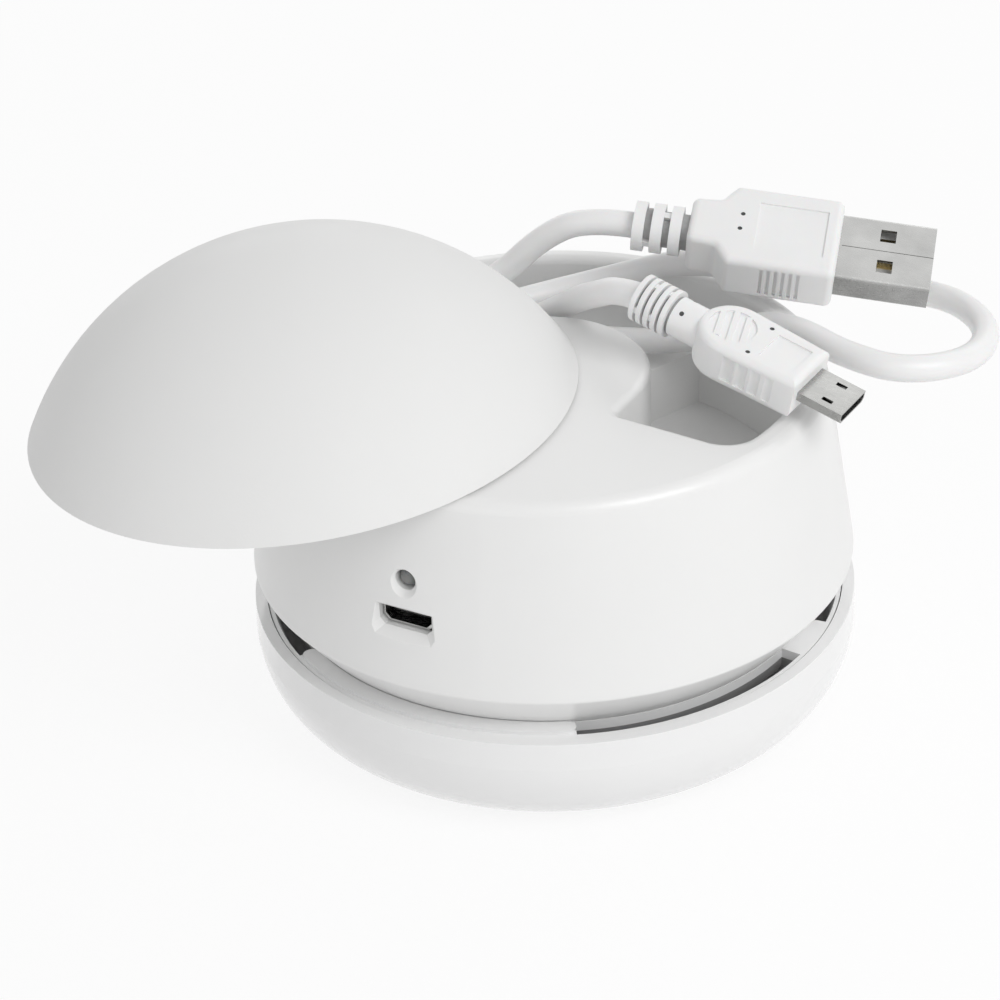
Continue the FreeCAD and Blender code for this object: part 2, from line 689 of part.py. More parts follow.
def light_opening():
    """Round hole for the charge light, bevelled at the outside."""
    face_y = -side_radius(LIGHT_Z)
    forward = Vector(0, -1, 0)
    bore = Part.makeCylinder(LIGHT_R + LIGHT_CLEAR, 8.0, Vector(0, face_y + 5.0, LIGHT_Z), forward)
    bevel = Part.makeCone(LIGHT_R + LIGHT_CLEAR, LIGHT_R + LIGHT_CLEAR + 2 * LIGHT_BEVEL,
                          2 * LIGHT_BEVEL, Vector(0, face_y + LIGHT_BEVEL, LIGHT_Z), forward)
    return joined([bore, bevel])


def switch_seat():
    """Flat seat inside the side wall, with ribs that hold the switch body."""
    half_w, half_h = SWITCH_PAD[0] / 2, SWITCH_PAD[1] / 2
    z0, z1 = SWITCH_Z - half_h, SWITCH_Z + half_h
    wall = level_wall(EDGE_R - SHOULDER_R, SHOULDER_RISE)
    seat = block(-half_w, half_w, -60, SWITCH_PAD_Y, z0, z1)
    seat = seat.common(Part.makeCone(side_radius(z0) - wall / 2, side_radius(z1) - wall / 2,
                                     z1 - z0, Vector(0, 0, z0)))
    ribs = []
    grip = SWITCH_BODY[1] / 2
    for low, high in ((-half_h, -grip), (grip, half_h)):
        ribs.append(block(-SWITCH_RIB_W / 2, SWITCH_RIB_W / 2, SWITCH_PAD_Y, SWITCH_PAD_Y + SWITCH_RIB_D,
                          SWITCH_Z + low, SWITCH_Z + high))
    return turned(joined([seat] + ribs), SWITCH_ANGLE)


def switch_opening():
    """Recess outside the wall and the window that the slider's stem runs in."""
    half_w, half_h = SWITCH_RECESS[0] / 2, SWITCH_RECESS[1] / 2
    recess = block(-half_w, half_w, -60, SWITCH_RECESS_Y, SWITCH_Z - half_h, SWITCH_Z + half_h)
    window_w = (SWITCH_STEM[0] + SWITCH_TRAVEL) / 2 + SWITCH_CLEAR
    window_h = SWITCH_STEM[1] / 2 + SWITCH_CLEAR
    window = block(-window_w, window_w, SWITCH_RECESS_Y - 1, SWITCH_PAD_Y,
                   SWITCH_Z - window_h, SWITCH_Z + window_h)
    return turned(joined([recess, window]), SWITCH_ANGLE)


def upper_housing():
    """One moulding: tapered side, crowned deck, hub, cable store, skirt and bosses."""
    stores = store_forms(0.0)
    form = rounded_store(without(turned(housing_form(), SEAM_ANGLE), stores), stores)
    shell = form.cut(without(housing_void(), store_forms(STORE_WALL)))
    shell = joined([shell, hinge_seat(), switch_seat()] + long_bosses(form))
    bore = on_hinge(post(SPIGOT_R + PIVOT_CLEAR, CROWN_Z + CROWN_R - 12.0, CROWN_Z + CROWN_R + 2.0))
    return without(shell, [bore, port_opening(), light_opening(), switch_opening()])


# ---- Lid ----
def lid_rim_height():
    """Height of the closed lid's rim plane, clear of the crowned deck."""
    return crown_height(LID_R - LID_WALL) + LID_GAP


def lid_cap(inset):
    """The dome as a filled cap, pulled in by an inset."""
    rim = lid_rim_height()
    sphere_r = (LID_R ** 2 + LID_RISE ** 2) / (2 * LID_RISE)
    centre = Vector(0, 0, rim + LID_RISE - sphere_r)
    ball = Part.makeSphere(sphere_r - inset, centre)
    return ball.common(post(LID_R + 5.0, rim, rim + LID_RISE + 5.0))


def lid_dome():
    """Domed lid with its hinge boss, ribs and spigot, built closed and swung open."""
    dome = lid_cap(0.0).cut(lid_cap(LID_WALL))
    base = CROWN_Z + CROWN_R + LID_GAP
    boss = on_hinge(post(HINGE_BOSS_R, base, base + HINGE_BOSS_H))
    x_rib = block(-HINGE_RIB_REACH, HINGE_RIB_REACH, -HINGE_RIB_T / 2, HINGE_RIB_T / 2,
                  base + 1.0, base + HINGE_BOSS_H)
    boss = joined([boss, on_hinge(x_rib)]).common(lid_cap(LID_WALL / 2))
    foot = base - LID_GAP - HOUSING_WALL - UNDER_BOSS_H - PIVOT_CLEAR
    spigot = on_hinge(post(SPIGOT_R, foot, base + 1.0))
    pilot = on_hinge(post(PIVOT_SCREW_R, foot, foot + PIVOT_SCREW_L))
    return opened(joined([dome, boss, spigot]).cut(pilot))


def lid_fastening():
    """Thrust washer, spring washer and screw that hold the spigot under the deck."""
    top = CROWN_Z + CROWN_R - HOUSING_WALL - UNDER_BOSS_H - PIVOT_CLEAR
    bore = PIVOT_SCREW_R + WASHER_CLEAR
    thrust = ring(bore, WASHER_R, top - WASHER_T, top)
    spring_top = top - WASHER_T
    spring = ring(bore, WASHER_R - SPRING_STEP, spring_top - WASHER_T, spring_top)
    seat = spring_top - WASHER_T
    shank = post(PIVOT_SCREW_R - SCREW_FIT, seat, top + PIVOT_SCREW_L - SCREW_END)
    head = post(PIVOT_HEAD_R, seat - PIVOT_HEAD_T, seat)
    length, width, depth = PIVOT_CROSS
    bar = block(-length / 2, length / 2, -width / 2, width / 2,
                seat - 2 * PIVOT_HEAD_T, seat - PIVOT_HEAD_T + depth)
    bolt = joined([shank, head]).cut(joined([bar, turned(bar, 90.0)]))
    return [opened(on_hinge(shape)) for shape in (thrust, spring, bolt)]


# ---- Vent ring, dish and pads ----
def slot_arcs():
    """The exhaust slots as (start, end) angles, with bridges between and a closed front."""
    first = -90.0 + FRONT_HALF
    bridges = (0.0, 90.0, 180.0)
    starts = [first] + [angle + BRIDGE_HALF for angle in bridges]
    ends = [angle - BRIDGE_HALF for angle in bridges] + [270.0 - FRONT_HALF]
    return list(zip(starts, ends))


def vent_ring():
    """Ring with long exhaust slots, the closed front segment ending in rounded studs."""
    shape = ring(RING_R0, RING_R1, CHASSIS_TOP, RING_TOP)
    for start, end in slot_arcs():
        shape = shape.cut(arc_ring(SLOT_R0, SLOT_R1, CHASSIS_TOP - 1, RING_TOP + 1, start, end))
    studs = []
    rail_in = skirt_radius(RING_TOP + STUD_PROUD) + SLOT_GAP
    rail_out = SLOT_R1 - SLOT_GAP
    half = (rail_out - rail_in) / 2
    tuck = math.degrees(half / rail_out)
    start, end = -90.0 - FRONT_HALF + tuck, -90.0 + FRONT_HALF - tuck
    for angle in (start, end):
        x, y = around(rail_in + half, angle)
        studs.append(post(half, RING_TOP - MERGE, RING_TOP + STUD_PROUD, x, y))
    rail = arc_ring(rail_in, rail_out, RING_TOP - MERGE, RING_TOP + STUD_PROUD, start, end)
    return joined([shape, rail] + studs)


def quarter_ellipse(centre_r, centre_z, run, rise):
    """Ellipse arc in the XZ plane from straight below the centre out to its widest."""
    centre = Vector(centre_r, 0, centre_z)
    tall = rise >= run
    major = Vector(centre_r, 0, centre_z + rise) if tall else Vector(centre_r + run, 0, centre_z)
    minor = Vector(centre_r + run, 0, centre_z) if tall else Vector(centre_r, 0, centre_z - rise)
    ellipse = Part.Ellipse(major, minor, centre)
    span = (math.pi / 2, math.pi) if tall else (0.0, math.pi / 2)
    return Part.ArcOfEllipse(ellipse, span[0], span[1]).toShape()


def bowl(inset, top, top_r):
    """Bowl of the dish as a filled solid, pulled in by an inset."""
    wide_z = DISH_Z + DISH_WIDE_RISE
    run = DISH_R - DISH_FLAT_R - inset
    rise = DISH_WIDE_RISE - inset
    low = DISH_Z + inset
    return spun([line((0, low), (DISH_FLAT_R, low)),
                 quarter_ellipse(DISH_FLAT_R, wide_z, run, rise),
                 line((DISH_R - inset, wide_z), (top_r, top)),
                 line((top_r, top), (0, top)),
                 line((0, top), (0, low))])


def pad_arcs(clear, z0, z1):
    """The pads' outlines as solids, grown by a clearance."""
    grow = math.degrees(clear / PAD_R0)
    shapes = []
    for start, end in (PAD_MAIN_ANGLES, PAD_FRONT_ANGLES):
        shapes.append(arc_ring(PAD_R0 - clear, PAD_R1 + clear, z0, z1, start - grow, end + grow))
    return shapes


def base_dish():
    """Bottom shell: bowl, chassis ledge, tray opening with bayonet notches, screw bosses."""
    top = RING_TOP + LIP_PROUD
    shape = bowl(0.0, top, LIP_R1).cut(bowl(DISH_WALL, top + 1.0, LIP_R0))
    ledge = ring(LIP_R0 - LEDGE_W, LIP_R0 + MERGE, CHASSIS_Z - LEDGE_T, CHASSIS_Z)
    bosses = []
    holes = [post(TRAY_R + TRAY_CLEAR, DISH_Z - 1, FLOOR_Z + 1)]
    pass_hole = SCREW_R + SCREW_PASS
    for angle in PILLAR_ANGLES:
        x, y = around(PILLAR_RING_R, angle)
        bosses.append(post(PILLAR_R + PILLAR_SEAT, FLOOR_Z - MERGE, FLOOR_Z + PILLAR_FOOT, x, y))
        seat = DISH_Z + PAD_T + SCREW_HEAD_T + SCREW_SINK
        holes.append(post(SCREW_HEAD_R + SCREW_PASS, DISH_Z, seat, x, y))
        holes.append(post(pass_hole, DISH_Z, FLOOR_Z + PILLAR_FOOT + 1, x, y))
    stops = []
    for angle in LUG_ANGLES:
        notch = angle + TRAY_TURN
        reach = LUG_HALF + LUG_PASS
        holes.append(arc_ring(TRAY_R, LUG_R + TRAY_CLEAR, DISH_Z - 1, FLOOR_Z + 1, notch - reach, notch + reach))
        for near in (angle - LUG_HALF - STOP_ARC - STOP_GAP, notch + reach + STOP_GAP):
            stops.append(arc_ring(TRAY_R + TRAY_CLEAR + STOP_GAP, LUG_R - STOP_GAP, FLOOR_Z - MERGE, FLOOR_Z + LUG_T,
                                  near, near + STOP_ARC))
    holes += pad_arcs(PAD_CLEAR, DISH_Z - 1, PAD_T)
    shape = joined([shape, ledge] + bosses + stops)
    for hole in holes:
        shape = shape.cut(hole)
    return shape


def base_pads():
    """Anti-slip pads in the groove under the dish; the main one is C-shaped."""
    return Part.makeCompound(pad_arcs(0.0, 0.0, PAD_T))


# ---- Chassis, filter and tray ----
def exhaust_arcs():
    """Exhaust openings between the bosses, as (start, end) angles."""
    taken = sorted(BOSS_ANGLES + PILLAR_ANGLES)
    arcs = []
    for start, end in zip(taken, taken[1:] + [taken[0] + 360.0]):
        if end - start - 2 * EXHAUST_MARGIN > EXHAUST_LEAST:
            arcs.append((start + EXHAUST_MARGIN, end - EXHAUST_MARGIN))
    return arcs


def chassis_plate():
    """Plate that carries the filter below and lets the air into the fan and out at the rim."""
    shape = post(RING_R1, CHASSIS_Z, CHASSIS_TOP)
    parts = [shape,
             ring(INLET_R, INLET_R + INLET_LIP_T, CHASSIS_Z, CHASSIS_TOP + INLET_LIP_H),
             ring(SKIRT_R0, SKIRT_R1, LUG_Z + LUG_T + SKIRT_GAP, CHASSIS_Z + MERGE)]
    foot = FLOOR_Z + PILLAR_FOOT
    for angle in PILLAR_ANGLES:
        x, y = around(PILLAR_RING_R, angle)
        parts.append(post(PILLAR_R, foot, CHASSIS_Z + MERGE, x, y))
    shape = joined(parts).cut(post(INLET_R, CHASSIS_Z - 1, CHASSIS_TOP + INLET_LIP_H + 1))
    for start, end in exhaust_arcs():
        shape = shape.cut(arc_ring(EXHAUST_R0, EXHAUST_R1, CHASSIS_Z - 1, CHASSIS_TOP + 1, start, end))
    for start, end in slot_arcs():
        shape = shape.cut(arc_ring(SLOT_R0, SLOT_R1 - SLOT_STEP, CHASSIS_Z - 1, CHASSIS_TOP + 1, start, end))
    for angle in PILLAR_ANGLES:
        x, y = around(PILLAR_RING_R, angle)
        shape = shape.cut(post(SCREW_R, foot - 1, foot + DISH_SCREW_L, x, y))
    for angle in BOSS_ANGLES:
        x, y = around(BOSS_RING_R, angle)
        shape = shape.cut(post(SCREW_R + SCREW_PASS, CHASSIS_Z - 1, CHASSIS_TOP + 1, x, y))
    return shape


def filter_frame():
    """Round filter frame with four spokes below the mesh."""
    shape = ring(FILTER_INNER_R, FILTER_R, FILTER_Z, CHASSIS_Z)
    spokes = []
    for angle in (0.0, 90.0):
        bar = block(-FILTER_INNER_R - 1, FILTER_INNER_R + 1, -SPOKE_W / 2, SPOKE_W / 2,
                    FILTER_Z, FILTER_Z + SPOKE_T)
        spokes.append(turned(bar, angle))
    return joined([shape] + spokes)


def dust_tray():
    """Cup with a raised intake tube, a brush well below and three bayonet lugs."""
    rim = GASKET_Z - RIM_GAP
    well_roof = DISH_Z + WELL_DEPTH
    parts = [post(TRAY_R, DISH_Z, DISH_Z + TRAY_WALL),
             ring(TRAY_R - TRAY_WALL, TRAY_R, DISH_Z, rim),
             post(WELL_R + TRAY_WALL, DISH_Z, well_roof + TRAY_WALL),
             post(INTAKE_R + INTAKE_WALL, DISH_Z, DISH_Z + INTAKE_H)]
    for angle in LUG_ANGLES:
        parts.append(arc_ring(TRAY_R - MERGE, LUG_R, LUG_Z, LUG_Z + LUG_T, angle - LUG_HALF, angle + LUG_HALF))
    shape = joined(parts)
    shape = shape.cut(post(WELL_R, DISH_Z - 1, well_roof))
    shape = shape.cut(post(INTAKE_R, DISH_Z - 1, DISH_Z + INTAKE_H + 1))
    length, width, depth = COIN_SLOT
    for side in (-COIN_SLOT_R, COIN_SLOT_R):
        shape = shape.cut(block(-length / 2, length / 2, side - width / 2, side + width / 2,
                                DISH_Z - 1, DISH_Z + depth))
    return shape


def brush_ring():
    """Holder of the bristles, in the roof of the brush well."""
    roof = DISH_Z + WELL_DEPTH
    return ring(INTAKE_R + INTAKE_WALL, WELL_R - BRUSH_CLEAR, roof - BRUSH_T, roof)


def brush_tufts():
    """Ring of bristle tufts below the holder."""
    holder = DISH_Z + WELL_DEPTH - BRUSH_T
    tufts = []
    for index in range(TUFT_COUNT):
        tuft = block(TUFT_R - TUFT_W / 2, TUFT_R + TUFT_W / 2, -TUFT_W / 2, TUFT_W / 2, TUFT_TIP, holder)
        tufts.append(turned(tuft, index * 360.0 / TUFT_COUNT))
    return Part.makeCompound(tufts)


# ---- Fan, cover and motor ----
def fan_blade():
    """One backward-curved blade."""
    outer, inner = FAN_R - 0.5, BLADE_R0
    span = outer - inner
    low, bend = 0.0, BLADE_BULGE
    outside = Part.Arc(Vector(inner, low, BLADE_Z), Vector(inner + span / 2, bend + BLADE_T, BLADE_Z),
                       Vector(outer, low - span / 2, BLADE_Z)).toShape()
    inside = Part.Arc(Vector(outer - BLADE_T / 2, low - span / 2 - BLADE_T / 2, BLADE_Z),
                      Vector(inner + span / 2 - BLADE_T / 2, bend, BLADE_Z),
                      Vector(inner, low - BLADE_T, BLADE_Z)).toShape()
    tip = Part.makeLine(Vector(outer, low - span / 2, BLADE_Z),
                        Vector(outer - BLADE_T / 2, low - span / 2 - BLADE_T / 2, BLADE_Z))
    root = Part.makeLine(Vector(inner, low - BLADE_T, BLADE_Z), Vector(inner, low, BLADE_Z))
    face = Part.Face(Part.Wire([outside, tip, inside, root]))
    return face.extrude(Vector(0, 0, BLADE_H + 0.3)).common(post(FAN_R - 0.2, BLADE_Z, FAN_TOP))


def impeller():
    """Fan wheel: plate above, curved blades below and a coned hub on the shaft."""
    cone_low = FAN_PLATE_Z - FAN_EYE_CONE_H
    parts = [post(FAN_R, FAN_PLATE_Z, FAN_TOP),
             Part.makeCone(FAN_HUB_R, 2.2 * FAN_HUB_R, FAN_EYE_CONE_H + 0.3, Vector(0, 0, cone_low)),
             post(FAN_HUB_R, cone_low - 1.0, cone_low + 0.5)]
    blade = fan_blade()
    for index in range(BLADE_COUNT):
        parts.append(turned(blade, index * 360.0 / BLADE_COUNT))
    return joined(parts).cut(post(SHAFT_R, 0, ABOVE))


def fan_cover():
    """Plate over the fan that carries the motor, the board's posts and the battery."""
    parts = [post(COVER_R, COVER_Z, COVER_TOP)]
    for side in (-1.0, 1.0):
        parts.append(post(BOARD_POST_R, COVER_TOP - MERGE, BOARD_Z, side * BOARD_SCREW[0], BOARD_SCREW[1]))
    shape = joined(parts).cut(post(NOSE_R + NOSE_CLEAR, COVER_Z - 1, COVER_TOP + 1))
    for angle in BOSS_ANGLES:
        x, y = around(BOSS_RING_R, angle)
        shape = shape.cut(post(BOSS_R + SCREW_PASS, COVER_Z - 1, COVER_TOP + 1, x, y))
    for angle in COVER_ANGLES:
        x, y = around(COVER_RING_R, angle)
        shape = shape.cut(post(SCREW_R + SCREW_PASS, COVER_Z - 1, COVER_TOP + 1, x, y))
    for side in (-1.0, 1.0):
        shape = shape.cut(post(SCREW_R + SCREW_PASS, COVER_Z - 1, COVER_TOP + 1, side * MOTOR_SCREW_X, 0))
        shape = shape.cut(post(SCREW_R, COVER_Z - 1, BOARD_Z + 1, side * BOARD_SCREW[0], BOARD_SCREW[1]))
    return shape


def motor_can():
    """Flat-sided motor can with its bearing nose down."""
    flats = block(-MOTOR_R, MOTOR_R, -MOTOR_FLAT, MOTOR_FLAT, COVER_TOP, MOTOR_TOP)
    body = post(MOTOR_R, COVER_TOP, MOTOR_TOP).common(flats)
    upper = [edge for edge in body.Edges if edge.BoundBox.ZMin > MOTOR_TOP - 0.01]
    body = body.makeFillet(MOTOR_ROUND, upper)
    body = joined([body, post(NOSE_R, COVER_Z, COVER_TOP + MERGE)])
    body = body.cut(post(SHAFT_BORE, COVER_Z - 1, MOTOR_TOP + 1)).cut(post(BUSH_R, COVER_Z - 1, COVER_Z + BUSH_L))
    for side in (-1.0, 1.0):
        body = body.cut(post(SCREW_R, COVER_TOP - 1, COVER_TOP + MOTOR_SCREW_L, side * MOTOR_SCREW_X, 0))
    return body


def motor_endcap():
    """Plastic end cap on top of the can."""
    flats = block(-CAP_R, CAP_R, CAP_STEP - MOTOR_FLAT, MOTOR_FLAT - CAP_STEP, MOTOR_TOP, CAP_TOP)
    body = post(CAP_R, MOTOR_TOP, CAP_TOP).common(flats)
    return body.cut(post(BUSH_R, MOTOR_TOP - 1, CAP_TOP - CAP_ROOF))


def motor_bushes():
    """Sintered bushes that carry the shaft at both ends."""
    bore = SHAFT_R + SHAFT_CLEAR
    return Part.makeCompound([ring(bore, BUSH_R, COVER_Z, COVER_Z + BUSH_L),
                              ring(bore, BUSH_R, MOTOR_TOP, CAP_TOP - CAP_ROOF)])


def motor_terminals():
    """Two solder tags on the end cap."""
    thick, width, height = TERMINAL
    tags = []
    for side in (-1.0, 1.0):
        x = side * TERMINAL_X
        tags.append(block(x - thick / 2, x + thick / 2, -width / 2, width / 2, CAP_TOP, CAP_TOP + height))
    return Part.makeCompound(tags)


# ---- Battery, board, port and light ----
def battery_cell():
    """Flat pouch cell."""
    x, y = CELL_CORNER
    z = COVER_TOP + CRADLE_T
    cell = block(x, x + CELL[0], y, y + CELL[1], z, z + CELL[2])
    return cell.makeFillet(CELL_ROUND, cell.Edges)


def battery_cradle():
    """Open tray that holds the cell on the fan cover."""
    x, y = CELL_CORNER
    w = CRADLE_WALL
    outer = block(x - w, x + CELL[0] + w, y - w, y + CELL[1] + w, COVER_TOP, COVER_TOP + CRADLE_T + CRADLE_H)
    inner = block(x, x + CELL[0], y, y + CELL[1], COVER_TOP + CRADLE_T, COVER_TOP + CRADLE_T + CRADLE_H + 1)
    way = block(x - w - 1, x + CELL[0] + w + 1, y + CELL[1] * CRADLE_GAP[0], y + CELL[1] * CRADLE_GAP[1],
                COVER_TOP + CRADLE_T, COVER_TOP + CRADLE_T + CRADLE_H + 1)
    return outer.cut(inner).cut(way)


def circuit_board():
    """Board behind the charging port, its front edge following the side wall."""
    board = block(-BOARD_HALF, BOARD_HALF, BOARD_Y0, BOARD_Y1, BOARD_Z, BOARD_TOP)
    board = board.common(post(-BOARD_Y0, BOARD_Z - 1, BOARD_TOP + 1))
    for side in (-1.0, 1.0):
        board = board.cut(post(SCREW_R + SCREW_PASS, BOARD_Z - 1, BOARD_TOP + 1, side * BOARD_SCREW[0], BOARD_SCREW[1]))
    return board


def on_board(size, inset=0.0, floor=0.0):
    """A block on the board, from its centre in from the rear edge and its size."""
    x, back, width, length, height = size
    y = BOARD_Y1 - back
    return block(x - width / 2 + inset, x + width / 2 - inset, y - length / 2 + inset, y + length / 2 - inset,
                 BOARD_TOP + floor, BOARD_TOP + height + floor)


def board_components():
    """Charger chip, inductor, capacitor and lead connector on the board."""
    x, back, radius, height = CAPACITOR
    can = post(radius, BOARD_TOP, BOARD_TOP + height, x, BOARD_Y1 - back)
    socket = on_board(SOCKET).cut(on_board(SOCKET, SOCKET_WALL, 2 * SOCKET_WALL))
    return Part.makeCompound([on_board(CHIP), on_board(COIL), can, socket])


def usb_port_shell():
    """Metal shell of the charging port."""
    outer = port_prism(0.0, PORT_FRONT_Y, PORT_FRONT_Y + PORT[2])
    return outer.cut(port_prism(-PORT_WALL, PORT_FRONT_Y - 1, PORT_FRONT_Y + PORT[2] - PORT_WALL))


def usb_port_tongue():
    """Contact tongue inside the charging port."""
    back = PORT_FRONT_Y + PORT[2] - PORT_WALL
    gap, setback, thick = PORT_TONGUE
    half = PORT[0] / 2 - PORT_WALL - PORT_CHAMFER - gap
    low = PORT_Z + PORT_TONGUE_LIFT
    return block(-half, half, PORT_FRONT_Y + setback, back, low, low + thick)


def charge_light():
    """Light body with a domed front, through the hole in the wall."""
    forward = Vector(0, -1, 0)
    back_y = LIGHT_FRONT_Y + LIGHT_L
    stem = Part.makeCylinder(LIGHT_R, LIGHT_L - LIGHT_R, Vector(0, back_y, LIGHT_Z), forward)
    dome = Part.makeSphere(LIGHT_R, Vector(0, LIGHT_FRONT_Y + LIGHT_R, LIGHT_Z))
    flange = Part.makeCylinder(LIGHT_R + LIGHT_FLANGE[0], LIGHT_FLANGE[1], Vector(0, back_y, LIGHT_Z), forward)
    return joined([stem, dome, flange])


def light_legs():
    """Two bent legs from the light down to the board."""
    back_y = LIGHT_FRONT_Y + LIGHT_L
    half = LIGHT_LEG / 2
    legs = []
    for side in (-1.0, 1.0):
        x = side * LIGHT_LEG_X
        level = block(x - half, x + half, back_y, back_y + LIGHT_LEG_BACK, LIGHT_Z - half, LIGHT_Z + half)
        drop = block(x - half, x + half, back_y + LIGHT_LEG_BACK - LIGHT_LEG, back_y + LIGHT_LEG_BACK,
                     BOARD_TOP, LIGHT_Z - half + 0.1)
        legs.append(joined([level, drop]))
    return Part.makeCompound(legs)


# ---- Power switch ----
def switch_body():
    """Switch housing behind the wall."""
    half_w, half_h = SWITCH_BODY[0] / 2, SWITCH_BODY[1] / 2
    y0, y1 = SWITCH_PAD_Y, SWITCH_PAD_Y + SWITCH_BODY[2]
    body = block(-half_w, half_w, y0, y1, SWITCH_Z - half_h, SWITCH_Z + half_h)
    way_w = (SWITCH_STEM[0] + SWITCH_TRAVEL) / 2 + SWITCH_CLEAR
    way_h = SWITCH_STEM[1] / 2 + SWITCH_CLEAR
    body = body.cut(block(-way_w, way_w, y0 - 1, y0 + SWITCH_WELL, SWITCH_Z - way_h, SWITCH_Z + way_h))
    return turned(body, SWITCH_ANGLE)


def switch_slider():
    """Slider cap with three grip ridges, at the off end of its travel."""
    stem_w, stem_h = SWITCH_STEM
    cap_w, cap_h, cap_t = SWITCH_CAP
    off = -SWITCH_TRAVEL / 2
    back = SWITCH_RECESS_Y - SWITCH_CAP_GAP
    front = back - cap_t
    stem = block(off - stem_w / 2, off + stem_w / 2, back - MERGE, SWITCH_PAD_Y + SWITCH_STEM_IN,
                 SWITCH_Z - stem_h / 2, SWITCH_Z + stem_h / 2)
    cap = block(off - cap_w / 2, off + cap_w / 2, front, back, SWITCH_Z - cap_h / 2, SWITCH_Z + cap_h / 2)
    ridge_w, ridge_h, proud = SWITCH_RIDGE
    ridges = []
    for shift in SWITCH_RIDGES:
        x = off + shift
        ridges.append(block(x - ridge_w / 2, x + ridge_w / 2, front - proud, front + MERGE,
                            SWITCH_Z - ridge_h / 2, SWITCH_Z + ridge_h / 2))
    return turned(joined([stem, cap] + ridges), SWITCH_ANGLE)


# ---- Screw groups ----
def housing_screws():
    """Screws from below the chassis plate into the housing's bosses."""
    return Part.makeCompound([screw(*around(BOSS_RING_R, angle), CHASSIS_Z, CHASSIS_T + BOSS_SCREW_L - SCREW_END)
                              for angle in BOSS_ANGLES])


def dish_screws():
    """Screws from below the dish into the chassis pillars, hidden by the pads."""
    seat = DISH_Z + PAD_T + SCREW_HEAD_T + SCREW_SINK
    length = FLOOR_Z + PILLAR_FOOT + DISH_SCREW_L - SCREW_END - seat
    return Part.makeCompound([screw(*around(PILLAR_RING_R, angle), seat, length) for angle in PILLAR_ANGLES])


def cover_screws():
    """Screws from below the fan cover into the housing."""
    return Part.makeCompound([screw(*around(COVER_RING_R, angle), COVER_Z, COVER_T + COVER_SCREW_L - SCREW_END)
                              for angle in COVER_ANGLES])


def motor_screws():
    """Screws from below the fan cover into the motor."""
    return Part.makeCompound([screw(side * MOTOR_SCREW_X, 0.0, COVER_Z, COVER_T + MOTOR_SCREW_L - SCREW_END)
                              for side in (-1.0, 1.0)])


def board_screws():
    """Screws through the board into its posts."""
    return Part.makeCompound([screw(side * BOARD_SCREW[0], BOARD_SCREW[1], BOARD_TOP, BOARD_SCREW_L, False)
                              for side in (-1.0, 1.0)])


# ---- Plugs ----
def plug_place(base, axis, across):
    """Placement that carries a plug's own frame to where the plug lies."""
    x = Vector(*axis).normalize()
    z = x.cross(Vector(*across)).normalize()
    y = z.cross(x)
    matrix = FreeCAD.Matrix(x.x, y.x, z.x, base[0], x.y, y.y, z.y, base[1],
                            x.z, y.z, z.z, base[2], 0, 0, 0, 1)
    return FreeCAD.Placement(matrix)


def placed(shape, place):
    """A copy of a shape carried by a placement."""
    copy = shape.copy()
    copy.Placement = place.multiply(copy.Placement)
    return copy


def rod(radius, x0, x1):
    """A cylinder along a plug's own axis."""
    return Part.makeCylinder(radius, x1 - x0, Vector(x0, 0, 0), Vector(1, 0, 0))


def ringed_relief(x_end, x_plug, radius, rings):
    """Strain relief: a core with rings, and ribs that bridge the gaps in turn."""
    core = rod(radius * 0.72, x_end, x_plug)
    pitch = (x_plug - x_end) / rings
    parts = [core]
    for index in range(rings):
        start = x_end + index * pitch
        parts.append(rod(radius, start, start + pitch * 0.62))
        rib = block(start, start + pitch, -radius * 0.9, radius * 0.9, -0.5, 0.5)
        if index % 2:
            rib = block(start, start + pitch, -0.5, 0.5, -radius * 0.9, radius * 0.9)
        if index < rings - 1:
            parts.append(rib)
    return joined(parts)


def pin_marks(points, top):
    """Small round moulding marks."""
    return [Part.makeCylinder(PIN_R, MARK_DEPTH + 1, Vector(x, y, top - MARK_DEPTH)) for x, y in points]


def usb_a_overmould():
    """Moulded grip of the USB-A plug with a bare recessed panel and side grooves."""
    outline = [(A_FRONT, A_HALF_W), (A_SHOULDER_X, A_HALF_W), (A_NECK_X, A_NECK_HALF_W), (A_BACK_X, A_NECK_HALF_W - 0.4),
               (A_BACK_X, -A_NECK_HALF_W + 0.4), (A_NECK_X, -A_NECK_HALF_W), (A_SHOULDER_X, -A_HALF_W),
               (A_FRONT, -A_HALF_W)]
    body = profile_solid(outline, -A_HALF_T, A_HALF_T)
    body = body.makeFillet(A_ROUND, body.Edges)
    x0, x1, y0, y1 = A_PANEL
    body = body.cut(block(x0, x1, y0, y1, A_HALF_T - MARK_DEPTH, A_HALF_T + 1))
    pitch = (A_GRIP_X[1] - A_GRIP_X[0]) / (A_GRIPS - 1)
    for index in range(A_GRIPS):
        x = A_GRIP_X[0] + index * pitch
        for y0, y1 in ((A_HALF_W - A_GRIP_DEPTH, A_HALF_W + 1), (-A_HALF_W - 1, -A_HALF_W + A_GRIP_DEPTH)):
            body = body.cut(block(x - 0.25, x + 0.25, y0, y1, -A_HALF_T + 1.2, A_HALF_T - 1.2))
    for mark in pin_marks(((-15.2, 1.8), (-15.3, -1.0)), A_HALF_T):
        body = body.cut(mark)
    return body


